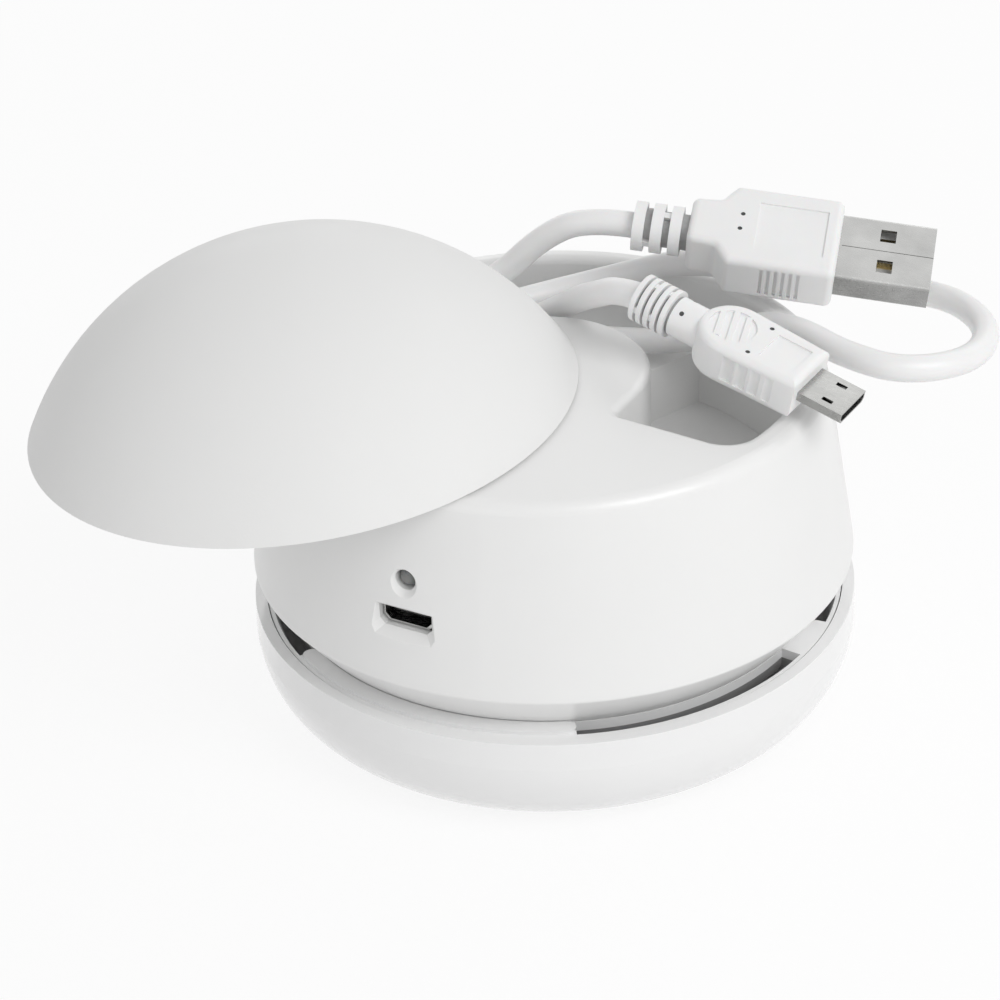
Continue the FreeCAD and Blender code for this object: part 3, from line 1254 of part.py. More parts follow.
def usb_a_shell():
    """Folded steel shell with two square windows above and below and a seam."""
    length, width, height = A_SHELL
    outer = block(A_FRONT, length, -width / 2, width / 2, -height / 2, height / 2)
    sides = [edge for edge in outer.Edges if edge.BoundBox.XLength > length / 2]
    outer = outer.makeFillet(0.5, sides)
    wall = A_SHELL_WALL
    inner = block(A_FRONT + wall, length + 1, -width / 2 + wall, width / 2 - wall, -height / 2 + wall, height / 2 - wall)
    shell = outer.cut(inner)
    half = A_WINDOW / 2
    for side in (-1.0, 1.0):
        y = side * A_WINDOW_Y
        shell = shell.cut(block(A_WINDOW_X - half, A_WINDOW_X + half, y - half, y + half, -height, height))
    return shell.cut(block(A_FRONT + wall, length + 1, -0.06, 0.06, height / 2 - 0.12, height))


def usb_a_tongue():
    """Plastic insulator in the lower half of the shell."""
    length, width, height = A_TONGUE
    low = -A_SHELL[2] / 2 + A_SHELL_WALL
    return block(A_FRONT + A_SHELL_WALL, length, -width / 2, width / 2, low, low + height)


def usb_a_contacts():
    """Four contacts on the insulator."""
    low = -A_SHELL[2] / 2 + A_SHELL_WALL + A_TONGUE[2]
    strips = [block(2.0, A_TONGUE[0] - 0.6, y - 0.5, y + 0.5, low, low + 0.2) for y in A_CONTACT_Y]
    return Part.makeCompound(strips)


def micro_b_overmould():
    """Moulded grip of the micro-B plug: round tail, thumb dish, waved sides, bare panel."""
    tail_r = B_HALF_W
    tail = B_TAIL_X + tail_r
    outline = [(B_FRONT, B_FRONT_HALF_W), (tail, B_HALF_W), (tail, -B_HALF_W), (B_FRONT, -B_FRONT_HALF_W)]
    body = joined([profile_solid(outline, -B_HALF_T, B_HALF_T),
                   Part.makeCylinder(tail_r, 2 * B_HALF_T, Vector(tail, 0, -B_HALF_T))])
    rim = [edge for edge in body.Edges if edge.BoundBox.ZLength < 0.01]
    body = body.makeFillet(B_ROUND, rim)
    low = -B_HALF_T + B_ROUND + 0.2
    for index in range(B_WAVES):
        x = B_WAVE_X + index * B_WAVE_PITCH
        for side in (-1.0, 1.0):
            wave = Part.makeCylinder(B_WAVE_R, -2 * low, Vector(x, side * (B_HALF_W + 0.6 * B_WAVE_R), low))
            body = body.cut(wave)
    thumb_x, thumb_r = B_THUMB
    dish = Part.makeCylinder(thumb_r, 2.0, Vector(thumb_x, 0, B_HALF_T - MARK_DEPTH))
    for index in range(3):
        bar = block(-0.4, 0.4, -thumb_r, thumb_r, 0, B_HALF_T)
        bar.rotate(Vector(0, 0, 0), UP, 20.0)
        bar.translate(Vector(thumb_x + (index - 1) * 2.0, 0, 0))
        dish = dish.cut(bar)
    body = body.cut(dish)
    x0, x1, y0, y1 = B_PANEL
    body = body.cut(block(x0, x1, y0, y1, B_HALF_T - MARK_DEPTH, B_HALF_T + 1))
    for mark in pin_marks(((-9.0, 3.2), (-9.0, -3.4)), B_HALF_T):
        body = body.cut(mark)
    return joined([body, rod(B_NECK_R, B_NECK_X, tail)])


def micro_b_shell():
    """Thin steel shell with chamfered lower corners."""
    length = B_SHELL[0]

    def trapezoid(inset, x0, x1):
        half_w = B_SHELL[1] / 2 - inset
        half_h = B_SHELL[2] / 2 - inset
        points = [(half_w, half_h), (half_w, -half_h + B_CHAMFER), (half_w - B_CHAMFER, -half_h),
                  (-half_w + B_CHAMFER, -half_h), (-half_w, -half_h + B_CHAMFER), (-half_w, half_h)]
        corners = [Vector(x0, y, z) for y, z in points]
        return Part.Face(Part.makePolygon(corners + corners[:1])).extrude(Vector(x1 - x0, 0, 0))

    shell = trapezoid(0.0, B_FRONT, length).cut(trapezoid(B_SHELL_WALL, B_FRONT + B_SHELL_WALL, length + 1))
    for side in (-1.0, 1.0):
        latch = block(2.6, 4.2, side * 2.0 - 0.35, side * 2.0 + 0.35, 0.2, B_SHELL[2])
        shell = shell.cut(latch)
    return shell


def micro_b_tongue():
    """Plastic tongue inside the micro-B shell."""
    length, width, height = B_TONGUE
    return block(B_FRONT + B_SHELL_WALL, length, -width / 2, width / 2, -B_SHELL[2] / 2 + B_SHELL_WALL,
                 -B_SHELL[2] / 2 + B_SHELL_WALL + height)


def cord_points(place_a, place_b):
    """Corner points of the cord, from the USB-A relief to the micro-B relief."""
    start = [place_a.multVec(Vector(x, 0, 0)) for x in (A_RELIEF_END, A_RELIEF_END - CORD_EXIT_A)]
    end = [place_b.multVec(Vector(x, 0, 0)) for x in (B_RELIEF_END - CORD_EXIT_B, B_RELIEF_END)]
    return start + [Vector(*point) for point in CORD_ROUTE] + end


def cord_path(points):
    """Straight runs joined by tangent arcs through the corner points, and the arc radii."""
    edges, radii = [], []
    last = points[0]
    for before, corner, after in zip(points, points[1:], points[2:]):
        back = (before - corner).normalize()
        ahead = (after - corner).normalize()
        reach = CORD_CORNER * min(before.distanceToPoint(corner), after.distanceToPoint(corner))
        half_turn = (math.pi - back.getAngle(ahead)) / 2
        radius = reach / math.tan(half_turn)
        middle_way = (back + ahead).normalize()
        centre = corner + middle_way * (radius / math.cos(half_turn))
        start = corner + back * reach
        end = corner + ahead * reach
        edges.append(Part.LineSegment(last, start).toShape())
        edges.append(Part.Arc(start, centre - middle_way * radius, end).toShape())
        radii.append(radius)
        last = end
    edges.append(Part.LineSegment(last, points[-1]).toShape())
    return Part.Wire(edges), radii


def usb_cord(place_a, place_b):
    """The cord as a plain tube between the strain reliefs."""
    points = cord_points(place_a, place_b)
    path, radii = cord_path(points)
    section = Part.Wire(Part.makeCircle(CORD_D / 2, points[0], points[1] - points[0]))
    tube = path.makePipeShell([section], True, False)
    even = math.pi * CORD_D ** 2 / 4 * path.Length
    print("cord length %.1f, tightest bend %.1f, volume %.1f of %.1f" % (path.Length, min(radii), tube.Volume, even))
    return tube


def main():
    os.makedirs("parts", exist_ok=True)
    thrust, spring, bolt = lid_fastening()
    save("upper_housing", upper_housing())
    save("lid_dome", lid_dome())
    save("lid_thrust_washer", thrust)
    save("lid_spring_washer", spring)
    save("lid_pivot_screw", bolt)
    save("vent_ring", vent_ring())
    save("base_dish", base_dish())
    save("base_pads", base_pads())
    save("chassis_plate", chassis_plate())
    save("filter_frame", filter_frame())
    save("filter_mesh", post(FILTER_INNER_R - MESH_CLEAR, FILTER_Z + SPOKE_T, FILTER_Z + SPOKE_T + MESH_T))
    save("filter_gasket", ring(TRAY_R - TRAY_WALL, TRAY_R + 0.2, GASKET_Z, FILTER_Z))
    save("dust_tray", dust_tray())
    save("brush_ring", brush_ring())
    save("brush_tufts", brush_tufts())
    save("impeller", impeller())
    save("fan_cover", fan_cover())
    save("motor_can", motor_can())
    save("motor_endcap", motor_endcap())
    save("motor_bushes", motor_bushes())
    save("motor_terminals", motor_terminals())
    save("motor_shaft", post(SHAFT_R, FAN_PLATE_Z - FAN_EYE_CONE_H - 1.0, CAP_TOP - 1.0))
    save("battery_cell", battery_cell())
    save("battery_cradle", battery_cradle())
    save("circuit_board", circuit_board())
    save("board_components", board_components())
    save("usb_port_shell", usb_port_shell())
    save("usb_port_tongue", usb_port_tongue())
    save("charge_light", charge_light())
    save("light_legs", light_legs())
    save("switch_body", switch_body())
    save("switch_slider", switch_slider())
    save("housing_screws", housing_screws())
    save("dish_screws", dish_screws())
    save("cover_screws", cover_screws())
    save("motor_screws", motor_screws())
    save("board_screws", board_screws())
    place_a = plug_place(A_BASE, A_AXIS, A_ACROSS)
    save("usb_a_overmould", placed(usb_a_overmould(), place_a))
    save("usb_a_strain_relief", placed(ringed_relief(A_RELIEF_END, A_BACK_X, A_RELIEF_R, A_RINGS), place_a))
    save("usb_a_shell", placed(usb_a_shell(), place_a))
    save("usb_a_tongue", placed(usb_a_tongue(), place_a))
    save("usb_a_contacts", placed(usb_a_contacts(), place_a))
    place_b = plug_place(B_BASE, B_AXIS, B_ACROSS)
    save("micro_b_overmould", placed(micro_b_overmould(), place_b))
    save("micro_b_strain_relief", placed(ringed_relief(B_RELIEF_END, B_NECK_X, B_RELIEF_R, B_RINGS), place_b))
    save("micro_b_shell", placed(micro_b_shell(), place_b))
    save("micro_b_tongue", placed(micro_b_tongue(), place_b))
    save("usb_cord", usb_cord(place_a, place_b))


main()
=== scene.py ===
"""Desktop vacuum cleaner with a swivelling lid: finishes, charging cord, brush bristles and studio."""
import logging
import math
import random
from dataclasses import dataclass, field
from enum import Enum

import bmesh
import bpy
from mathutils import Matrix, Vector


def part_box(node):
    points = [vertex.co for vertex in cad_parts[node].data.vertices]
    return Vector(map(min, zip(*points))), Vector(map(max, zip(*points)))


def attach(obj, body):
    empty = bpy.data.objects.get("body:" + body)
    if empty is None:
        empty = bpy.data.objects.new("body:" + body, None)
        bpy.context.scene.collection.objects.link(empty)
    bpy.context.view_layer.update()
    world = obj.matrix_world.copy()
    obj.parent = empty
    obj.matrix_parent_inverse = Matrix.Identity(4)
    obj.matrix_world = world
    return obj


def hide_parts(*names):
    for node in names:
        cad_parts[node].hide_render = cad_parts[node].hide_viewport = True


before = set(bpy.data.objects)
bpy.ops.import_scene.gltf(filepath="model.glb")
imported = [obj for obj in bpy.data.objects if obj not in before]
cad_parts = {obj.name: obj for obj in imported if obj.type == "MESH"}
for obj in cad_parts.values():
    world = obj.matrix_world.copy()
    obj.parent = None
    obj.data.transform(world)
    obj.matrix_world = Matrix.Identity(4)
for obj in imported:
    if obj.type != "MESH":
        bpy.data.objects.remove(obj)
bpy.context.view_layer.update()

LOG = logging.getLogger("desk_cleaner")

Colour = tuple[float, float, float]
Point = tuple[float, float, float]
Span = tuple[float, float]
Socket = bpy.types.NodeSocket

MM = 0.001
NOISE_SPAN: Span = (0.3, 0.7)
PLAIN_WHITE: Colour = (0.88, 0.88, 0.88)
# Painted shade for the grooves of the strain reliefs.
PAINTED_GROOVE_SHADE: Colour = (0.42, 0.42, 0.42)


# ---------------------------------------------------------------------------
# Shared helpers
# ---------------------------------------------------------------------------

@dataclass(frozen=True)
class Mottle:
    """An even noise: its cells to the metre, and its octaves of finer noise."""

    cells: float
    octaves: float = 3.0


class Wiring:
    """A node tree under construction."""

    def __init__(self, tree: bpy.types.NodeTree) -> None:
        """Take over a node tree.

        Args:
            tree: Tree to add nodes to.
        """
        self.tree = tree

    def node(self, kind: str, **values: float | str) -> bpy.types.Node:
        """Add a node and set its properties.

        Args:
            kind: Blender's name of the node type.
            values: Properties of the node, by name.

        Returns:
            The new node.
        """
        made = self.tree.nodes.new(kind)
        for name, value in values.items():
            setattr(made, name, value)
        return made

    def link(self, source: Socket, target: Socket) -> None:
        """Join an output socket to an input socket."""
        self.tree.links.new(source, target)

    def combined(self, operation: str, *values: Socket | float) -> Socket:
        """Combine numbers by one operation.

        Args:
            operation: Blender's name of the operation.
            values: Sockets or fixed numbers, in order.

        Returns:
            The socket with the result.
        """
        made = self.node("ShaderNodeMath", operation=operation)
        for target, value in zip(made.inputs, values):
            if isinstance(value, Socket):
                self.link(value, target)
            else:
                target.default_value = value
        return made.outputs["Value"]

    def ranged(self, value: Socket, start: Span, result: Span) -> Socket:
        """Carry a value from one range over to another, held at both ends.

        Args:
            value: Socket with the value.
            start: Range that the value comes in.
            result: Range that it is spread over.

        Returns:
            The socket with the spread value.
        """
        made = self.node("ShaderNodeMapRange")
        for name, number in zip(("From Min", "From Max", "To Min", "To Max"), (*start, *result)):
            made.inputs[name].default_value = number
        self.link(value, made.inputs["Value"])
        return made.outputs["Result"]

    def seen(self, share: float) -> Socket:
        """A share for camera, glossy and transmission rays, and 0 for the rest.

        Args:
            share: Value for those rays.

        Returns:
            The socket with the share.
        """
        rays = self.node("ShaderNodeLightPath").outputs
        either = self.combined("MAXIMUM", rays["Is Camera Ray"], rays["Is Glossy Ray"])
        any_of = self.combined("MAXIMUM", either, rays["Is Transmission Ray"])
        return self.combined("MULTIPLY", any_of, share)


@dataclass(frozen=True)
class PlugFrame:
    """Where a plug lies: its origin in metres, the way it points and the way across it."""

    origin: Point
    axis: Point
    across: Point

    @property
    def along(self) -> Vector:
        """Unit vector towards the plug's mouth."""
        return Vector(self.axis).normalized()

    @property
    def up(self) -> Vector:
        """Unit vector out of the plug's upper face."""
        return self.along.cross(Vector(self.across)).normalized()

    @property
    def side(self) -> Vector:
        """Unit vector across the plug, square to the other two."""
        return self.up.cross(self.along)

    def point(self, along: float, across: float, up: float) -> Vector:
        """A point given in millimetres in the plug's own frame.

        Args:
            along: Place towards the mouth.
            across: Place across the plug.
            up: Height over the plug's middle plane.

        Returns:
            The point in the shared frame.
        """
        arm = self.along * along + self.side * across + self.up * up
        return Vector(self.origin) + arm * MM


USB_A_FRAME = PlugFrame((0.0305, 0.0357, 0.0600), (0.942, 0.317, -0.114), (-0.243, 0.874, 0.421))
MICRO_B_FRAME = PlugFrame((0.0401, 0.0018, 0.0565), (0.962, -0.087, -0.253), (0.115, 0.987, 0.101))


class Shading(Wiring):
    """A material under construction, with short calls for the nodes that the finishes use."""

    def __init__(self, name: str) -> None:
        """Start a material with a Principled shader wired to its output.

        Args:
            name: Name of the material.
        """
        self.material = bpy.data.materials.new(name)
        self.material.use_nodes = True
        super().__init__(self.material.node_tree)
        self.shader = self.tree.nodes["Principled BSDF"]
        self.coordinates = self.node("ShaderNodeTexCoord").outputs

    def stretched(self, scale: Point) -> Socket:
        """Object coordinates, scaled along each axis.

        Args:
            scale: Scale along the three axes.

        Returns:
            The socket with the scaled coordinates.
        """
        mapping = self.node("ShaderNodeMapping")
        mapping.inputs["Scale"].default_value = scale
        self.link(self.coordinates["Object"], mapping.inputs["Vector"])
        return mapping.outputs["Vector"]

    def noise(self, mottle: Mottle, source: Socket | None = None) -> Socket:
        """Noise from 0 to 1 over the object.

        Args:
            mottle: Fineness of the noise.
            source: Coordinates to use in place of the object's own.

        Returns:
            The noise's value socket.
        """
        texture = self.node("ShaderNodeTexNoise")
        texture.inputs["Scale"].default_value = mottle.cells
        texture.inputs["Detail"].default_value = mottle.octaves
        self.link(source or self.coordinates["Object"], texture.inputs["Vector"])
        return texture.outputs["Fac"]

    def between(self, value: Socket, low: float, high: float) -> Socket:
        """Spread the middle of a noise over a range.

        Args:
            value: Socket with a noise value.
            low: Result where the noise is low.
            high: Result where the noise is high.

        Returns:
            The socket with the spread value.
        """
        return self.ranged(value, NOISE_SPAN, (low, high))

    def worn(self, value: Socket, roughness: float, wear: Span) -> Socket:
        """Vary a roughness over the surface.

        Args:
            value: Socket with a noise value.
            roughness: Roughness to vary.
            wear: Shares of the roughness where the noise is low and where it is high.

        Returns:
            The socket with the roughness.
        """
        return self.between(value, roughness * wear[0], roughness * wear[1])

    def two_tone(self, value: Socket, first: Colour, second: Colour) -> Socket:
        """Blend two colours over the middle of a noise.

        Args:
            value: Socket with a noise value.
            first: Colour where the noise is low.
            second: Colour where the noise is high.

        Returns:
            The blended colour socket.
        """
        ramp = self.node("ShaderNodeValToRGB")
        for stop, place, colour in zip(ramp.color_ramp.elements, NOISE_SPAN, (first, second)):
            stop.position = place
            stop.color = (*colour, 1.0)
        self.link(value, ramp.inputs["Fac"])
        return ramp.outputs["Color"]

    def vector_math(self, operation: str, first: Socket, second: Point | Vector) -> bpy.types.Node:
        """Combine a vector socket with a fixed vector.

        Args:
            operation: Blender's name of the vector operation.
            first: Socket with the vector.
            second: Fixed vector.

        Returns:
            The node, with the outputs Vector and Value.
        """
        made = self.node("ShaderNodeVectorMath", operation=operation)
        self.link(first, made.inputs[0])
        made.inputs[1].default_value = second
        return made

    def facing(self, direction: Vector) -> Socket:
        """How squarely the surface faces along a direction or against it.

        Args:
            direction: Unit vector to compare the surface's normal with.

        Returns:
            The socket, 1 where the surface lies across the direction and 0 where it runs along it.
        """
        share = self.vector_math("DOT_PRODUCT", self.coordinates["Normal"], direction)
        return self.combined("ABSOLUTE", share.outputs["Value"])

    def from_axis(self, plug: PlugFrame) -> Socket:
        """Distance from the line that runs along a plug's middle.

        Args:
            plug: Frame of the plug.

        Returns:
            The socket with the distance in metres.
        """
        arm = self.vector_math("SUBTRACT", self.coordinates["Object"], plug.origin)
        across = self.vector_math("CROSS_PRODUCT", arm.outputs["Vector"], plug.along)
        length = self.node("ShaderNodeVectorMath", operation="LENGTH")
        self.link(across.outputs["Vector"], length.inputs[0])
        return length.outputs["Value"]

    def mixed(self, share: Socket, first: Socket, second: Socket) -> Socket:
        """Mix two colour sockets.

        Args:
            share: Socket with the share of the second colour.
            first: Colour at 0.
            second: Colour at 1.

        Returns:
            The mixed colour socket.
        """
        made = self.node("ShaderNodeMix", data_type="RGBA")
        for name, source in (("Factor", share), ("A", first), ("B", second)):
            self.link(source, made.inputs[name])
        return made.outputs["Result"]

    def bump(self, height: Socket, depth: float, strength: float, under: Socket | None = None) -> Socket:
        """Raise the surface by a height value.

        Args:
            height: Socket with the height from 0 to 1.
            depth: Height in metres that 1 stands for.
            strength: Share of the relief that is used.
            under: Normal of a coarser relief below this one.

        Returns:
            The normal socket.
        """
        made = self.node("ShaderNodeBump")
        made.inputs["Strength"].default_value = strength
        made.inputs["Distance"].default_value = depth
        self.link(height, made.inputs["Height"])
        if under is not None:
            self.link(under, made.inputs["Normal"])
        return made.outputs["Normal"]

    def wire(self, colour: Socket, roughness: Socket, normal: Socket) -> None:
        """Feed the shader.

        Args:
            colour: Socket with the base colour.
            roughness: Socket with the roughness.
            normal: Socket with the normal.
        """
        for name, source in (("Base Color", colour), ("Roughness", roughness), ("Normal", normal)):
            self.link(source, self.shader.inputs[name])

    def fix(self, **values: float) -> None:
        """Set even values on the shader's own sockets, named with underscores for spaces."""
        for name, value in values.items():
            self.shader.inputs[name.replace("_", " ")].default_value = value


def shaded(colour: Colour, share: float) -> Colour:
    """A colour darkened by a share.

    Args:
        colour: Colour to start from.
        share: Part of the brightness to take off.

    Returns:
        The darker colour.
    """
    return tuple(channel * (1.0 - share) for channel in colour)


def polar(angle: float) -> Vector:
    """Level unit vector at an angle, in radians from X."""
    return Vector((math.cos(angle), math.sin(angle), 0.0))


def add_object(name: str, data: bpy.types.ID) -> bpy.types.Object:
    """Put a mesh, curve, lamp or camera in the scene.

    Args:
        name: Name of the object.
        data: What the object holds.

    Returns:
        The new object.
    """
    made = bpy.data.objects.new(name, data)
    bpy.context.scene.collection.objects.link(made)
    return made


def add_ring(mesh: bmesh.types.BMesh, centre: Vector, first: Vector, second: Vector,
             corners: int) -> list[bmesh.types.BMVert]:
    """Add a ring of vertices.

    Args:
        mesh: Mesh under construction.
        centre: Middle of the ring.
        first: Radius to the first corner.
        second: Radius a quarter turn on.
        corners: Number of vertices.

    Returns:
        The vertices in order.
    """
    turns = [corner * math.tau / corners for corner in range(corners)]
    return [mesh.verts.new(centre + first * math.cos(turn) + second * math.sin(turn)) for turn in turns]


def join_rings(mesh: bmesh.types.BMesh, lower: list[bmesh.types.BMVert],
               upper: list[bmesh.types.BMVert]) -> None:
    """Join two rings that have as many vertices.

    Args:
        mesh: Mesh under construction.
        lower: Ring that the other stands over, in the way that it turns.
        upper: The other ring.
    """
    for corner in range(len(lower)):
        after = (corner + 1) % len(lower)
        mesh.faces.new((lower[corner], lower[after], upper[after], upper[corner]))


# ---------------------------------------------------------------------------
# Finishes
# ---------------------------------------------------------------------------

class Grain(Enum):
    """Surface that the mould leaves: its noise, and its relief in metres."""

    POLISHED = (Mottle(900.0, 4.0), 0.004 * MM)
    SATIN = (Mottle(2600.0, 4.0), 0.010 * MM)
    MATTE = (Mottle(3200.0, 4.0), 0.018 * MM)
    COARSE = (Mottle(1500.0, 4.0), 0.040 * MM)


@dataclass(frozen=True)
class Finish:
    """A finish that pieces share. Each kind wires the shader in its own way."""

    name: str

    def paint(self, shading: Shading) -> None:
        """Wire the shader.

        Args:
            shading: Material under construction.
        """
        raise NotImplementedError


@dataclass(frozen=True)
class MouldedPlastic(Finish):
    """Injection-moulded plastic with faint flow tones, smudges and a mould grain."""

    colour: Colour
    roughness: float
    grain: Grain
    coat: float = 0.0
    coat_roughness: float = 0.06
    tone: float = 0.02
    specular: float = 0.5
    refraction: float = 1.49
    flow: Mottle = Mottle(22.0, 2.0)
    smudge: Mottle = Mottle(95.0, 5.0)
    wear: Span = (0.9, 1.12)
    wave_height: float = 6.0
    wave_share: float = 0.4
    grain_share: float = 0.7

    def paint(self, shading: Shading) -> None:
        """Wire the plastic, with its grain over the slow waves of the flow.

        Args:
            shading: Material under construction.
        """
        cells, relief = self.grain.value
        flow = shading.noise(self.flow)
        colour = shading.two_tone(flow, shaded(self.colour, self.tone), self.colour)
        roughness = shading.worn(shading.noise(self.smudge), self.roughness, self.wear)
        wave = shading.bump(flow, relief * self.wave_height, self.wave_share)
        shading.wire(colour, roughness, shading.bump(shading.noise(cells), relief, self.grain_share, wave))
        shading.fix(Coat_Weight=self.coat, Coat_Roughness=self.coat_roughness,
                    Specular_IOR_Level=self.specular, IOR=self.refraction)


@dataclass(frozen=True)
class SoftMould(Finish):
    """Soft overmoulding and cord sheath: slightly waxy, with a fine even grain."""

    colour: Colour
    roughness: float = 0.42
    tone: float = 0.03
    handling: Mottle = Mottle(140.0, 4.0)
    wear: Span = (1.1, 0.85)
    grain: Mottle = Mottle(1800.0)
    relief: float = 0.012 * MM
    grain_share: float = 0.6
    glow: float = 0.08
    glow_depth: float = 1.0 * MM
    refraction: float = 1.46

    def tinted(self, shading: Shading, handling: Socket) -> Socket:
        """Colour of the surface, uneven from handling.

        Args:
            shading: Material under construction.
            handling: Socket with the noise of the handling.

        Returns:
            The colour socket.
        """
        return shading.two_tone(handling, shaded(self.colour, self.tone), self.colour)

    def paint(self, shading: Shading) -> None:
        """Wire the soft plastic.

        Args:
            shading: Material under construction.
        """
        handling = shading.noise(self.handling)
        colour = self.tinted(shading, handling)
        roughness = shading.worn(handling, self.roughness, self.wear)
        grain = shading.noise(self.grain)
        shading.wire(colour, roughness, shading.bump(grain, self.relief, self.grain_share))
        shading.fix(Subsurface_Weight=self.glow, Subsurface_Scale=self.glow_depth, IOR=self.refraction)


@dataclass(frozen=True, kw_only=True)
class RingedMould(SoftMould):
    """Soft strain relief with painted shade: the grooves between its rings are coloured darker, as deeper
    grooves in shade would look.
    """

    plug: PlugFrame
    core_radius: float
    ring_radius: float
    # Painted shade of the grooves, and how much it varies with handling.
    groove_shade: Colour = PAINTED_GROOVE_SHADE
    groove_shade_tone: float = 0.12

    def tinted(self, shading: Shading, handling: Socket) -> Socket:
        """Colour that goes from the painted shade of the grooves to the rings' own colour with the distance
        from the plug's middle.

        Args:
            shading: Material under construction.
            handling: Socket with the noise of the handling.

        Returns:
            The colour socket.
        """
        # Painted shade: the colour darkens towards the plug's middle, into the grooves between the rings.
        radius = shading.from_axis(self.plug)
        height = shading.ranged(radius, (self.core_radius, self.ring_radius), (0.0, 1.0))
        groove_shade = shading.two_tone(handling, shaded(self.groove_shade, self.groove_shade_tone), self.groove_shade)
        return shading.mixed(height, groove_shade, super().tinted(shading, handling))


@dataclass(frozen=True)
class DrawnMetal(Finish):
    """Plated or drawn sheet metal with fine lines along X. Where a lit face is given, the sides are
    darkened as painted shade and that face stays bright.
    """

    colour: Colour
    roughness: float
    tarnish: float = 0.18
    cloud: Mottle = Mottle(180.0, 4.0)
    lines: Mottle = Mottle(260.0)
    line_scale: Point = (1.0, 14.0, 14.0)
    line_depth: float = 0.006 * MM
    line_share: float = 0.35
    wear: Span = (0.8, 1.3)
    lit_face: Vector | None = None
    painted_side_shade: float = 0.3

    def paint(self, shading: Shading) -> None:
        """Wire the metal.

        Args:
            shading: Material under construction.
        """
        drawn = shading.noise(self.lines, shading.stretched(self.line_scale))
        cloud = shading.noise(self.cloud)
        colour = shading.two_tone(cloud, shaded(self.colour, self.tarnish), self.colour)
        # Painted shade: faces that turn away from the lit face are darkened.
        if self.lit_face is not None:
            sides = shading.two_tone(cloud, shaded(self.colour, self.tarnish + self.painted_side_shade),
                                     shaded(self.colour, self.painted_side_shade))
            colour = shading.mixed(shading.facing(self.lit_face), sides, colour)
        roughness = shading.worn(drawn, self.roughness, self.wear)
        shading.wire(colour, roughness, shading.bump(drawn, self.line_depth, self.line_share))
        shading.fix(Metallic=1.0)


@dataclass(frozen=True)
class Rubber(Finish):
    """Matte rubber with a pitted skin and a pale bloom."""

    colour: Colour
    roughness: float = 0.78
    specular: float = 0.3
    dust: Mottle = Mottle(120.0, 4.0)
    bloom: float = 0.05
    wear: Span = (1.0, 1.15)
    pits: Mottle = Mottle(2400.0, 5.0)
    pit_depth: float = 0.04 * MM
    pit_share: float = 0.6

    def paint(self, shading: Shading) -> None:
        """Wire the rubber.

        Args:
            shading: Material under construction.
        """
        dust = shading.noise(self.dust)
        pits = shading.noise(self.pits)
        pale = tuple(channel + self.bloom for channel in self.colour)
        colour = shading.two_tone(dust, self.colour, pale)
        roughness = shading.worn(dust, self.roughness, self.wear)
        shading.wire(colour, roughness, shading.bump(pits, self.pit_depth, self.pit_share))
        shading.fix(Specular_IOR_Level=self.specular)


@dataclass(frozen=True)
class WovenCloth(Finish):
    """Fine square weave of the filter."""

    thread: Colour
    gap: Colour
    threads_per_metre: float = 1600.0
    thread_height: float = 0.1 * MM
    thread_share: float = 0.8
    fuzz: Mottle = Mottle(300.0)
    roughness: Span = (0.8, 0.95)

    def weave(self, shading: Shading, direction: str) -> Socket:
        """One set of parallel threads.

        Args:
            shading: Material under construction.
            direction: Axis that the bands follow one another along, X or Y.

        Returns:
            The socket with the threads' height.
        """
        wave = shading.node("ShaderNodeTexWave", wave_type="BANDS", bands_direction=direction)
        wave.inputs["Scale"].default_value = self.threads_per_metre / math.tau
        shading.link(shading.coordinates["Object"], wave.inputs["Vector"])
        return wave.outputs["Fac"]

    def paint(self, shading: Shading) -> None:
        """Wire the cloth.

        Args:
            shading: Material under construction.
        """
        threads = shading.combined("MAXIMUM", self.weave(shading, "X"), self.weave(shading, "Y"))
        colour = shading.two_tone(threads, self.gap, self.thread)
        roughness = shading.between(shading.noise(self.fuzz), *self.roughness)
        shading.wire(colour, roughness, shading.bump(threads, self.thread_height, self.thread_share))


@dataclass(frozen=True)
class BoardLacquer(Finish):
    """Green lacquer over copper tracks."""

    lacquer: Colour
    track: Colour
    tracks_per_metre: float = 420.0
    track_height: float = 0.03 * MM
    track_share: float = 0.5
    film: Mottle = Mottle(500.0)
    roughness: Span = (0.3, 0.45)
    coat: float = 0.5
    coat_roughness: float = 0.15

    def paint(self, shading: Shading) -> None:
        """Wire the lacquered board.

        Args:
            shading: Material under construction.
        """
        cells = shading.node("ShaderNodeTexVoronoi", feature="DISTANCE_TO_EDGE", distance="MANHATTAN")
        cells.inputs["Scale"].default_value = self.tracks_per_metre
        shading.link(shading.coordinates["Object"], cells.inputs["Vector"])
        tracks = shading.between(cells.outputs["Distance"], 1.0, 0.0)
        colour = shading.two_tone(tracks, self.lacquer, self.track)
        roughness = shading.between(shading.noise(self.film), *self.roughness)
        shading.wire(colour, roughness, shading.bump(tracks, self.track_height, self.track_share))
        shading.fix(Coat_Weight=self.coat, Coat_Roughness=self.coat_roughness)


@dataclass(frozen=True)
class FrostedLens(Finish):
    """Diffusing lens of the charge light."""

    colour: Colour
    tone: float = 0.30
    cloud: Mottle = Mottle(400.0)
    frost: Mottle = Mottle(2200.0, 4.0)
    frost_depth: float = 0.01 * MM
    frost_share: float = 0.5
    roughness: Span = (0.25, 0.4)
    glow: float = 0.3
    glow_depth: float = 2.0 * MM
    clearness: float = 0.15

    def paint(self, shading: Shading) -> None:
        """Wire the lens.

        Args:
            shading: Material under construction.
        """
        frost = shading.noise(self.frost)
        colour = shading.two_tone(shading.noise(self.cloud), shaded(self.colour, self.tone), self.colour)
        roughness = shading.between(frost, *self.roughness)
        shading.wire(colour, roughness, shading.bump(frost, self.frost_depth, self.frost_share))
        shading.fix(Subsurface_Weight=self.glow, Subsurface_Scale=self.glow_depth,
                    Transmission_Weight=self.clearness)


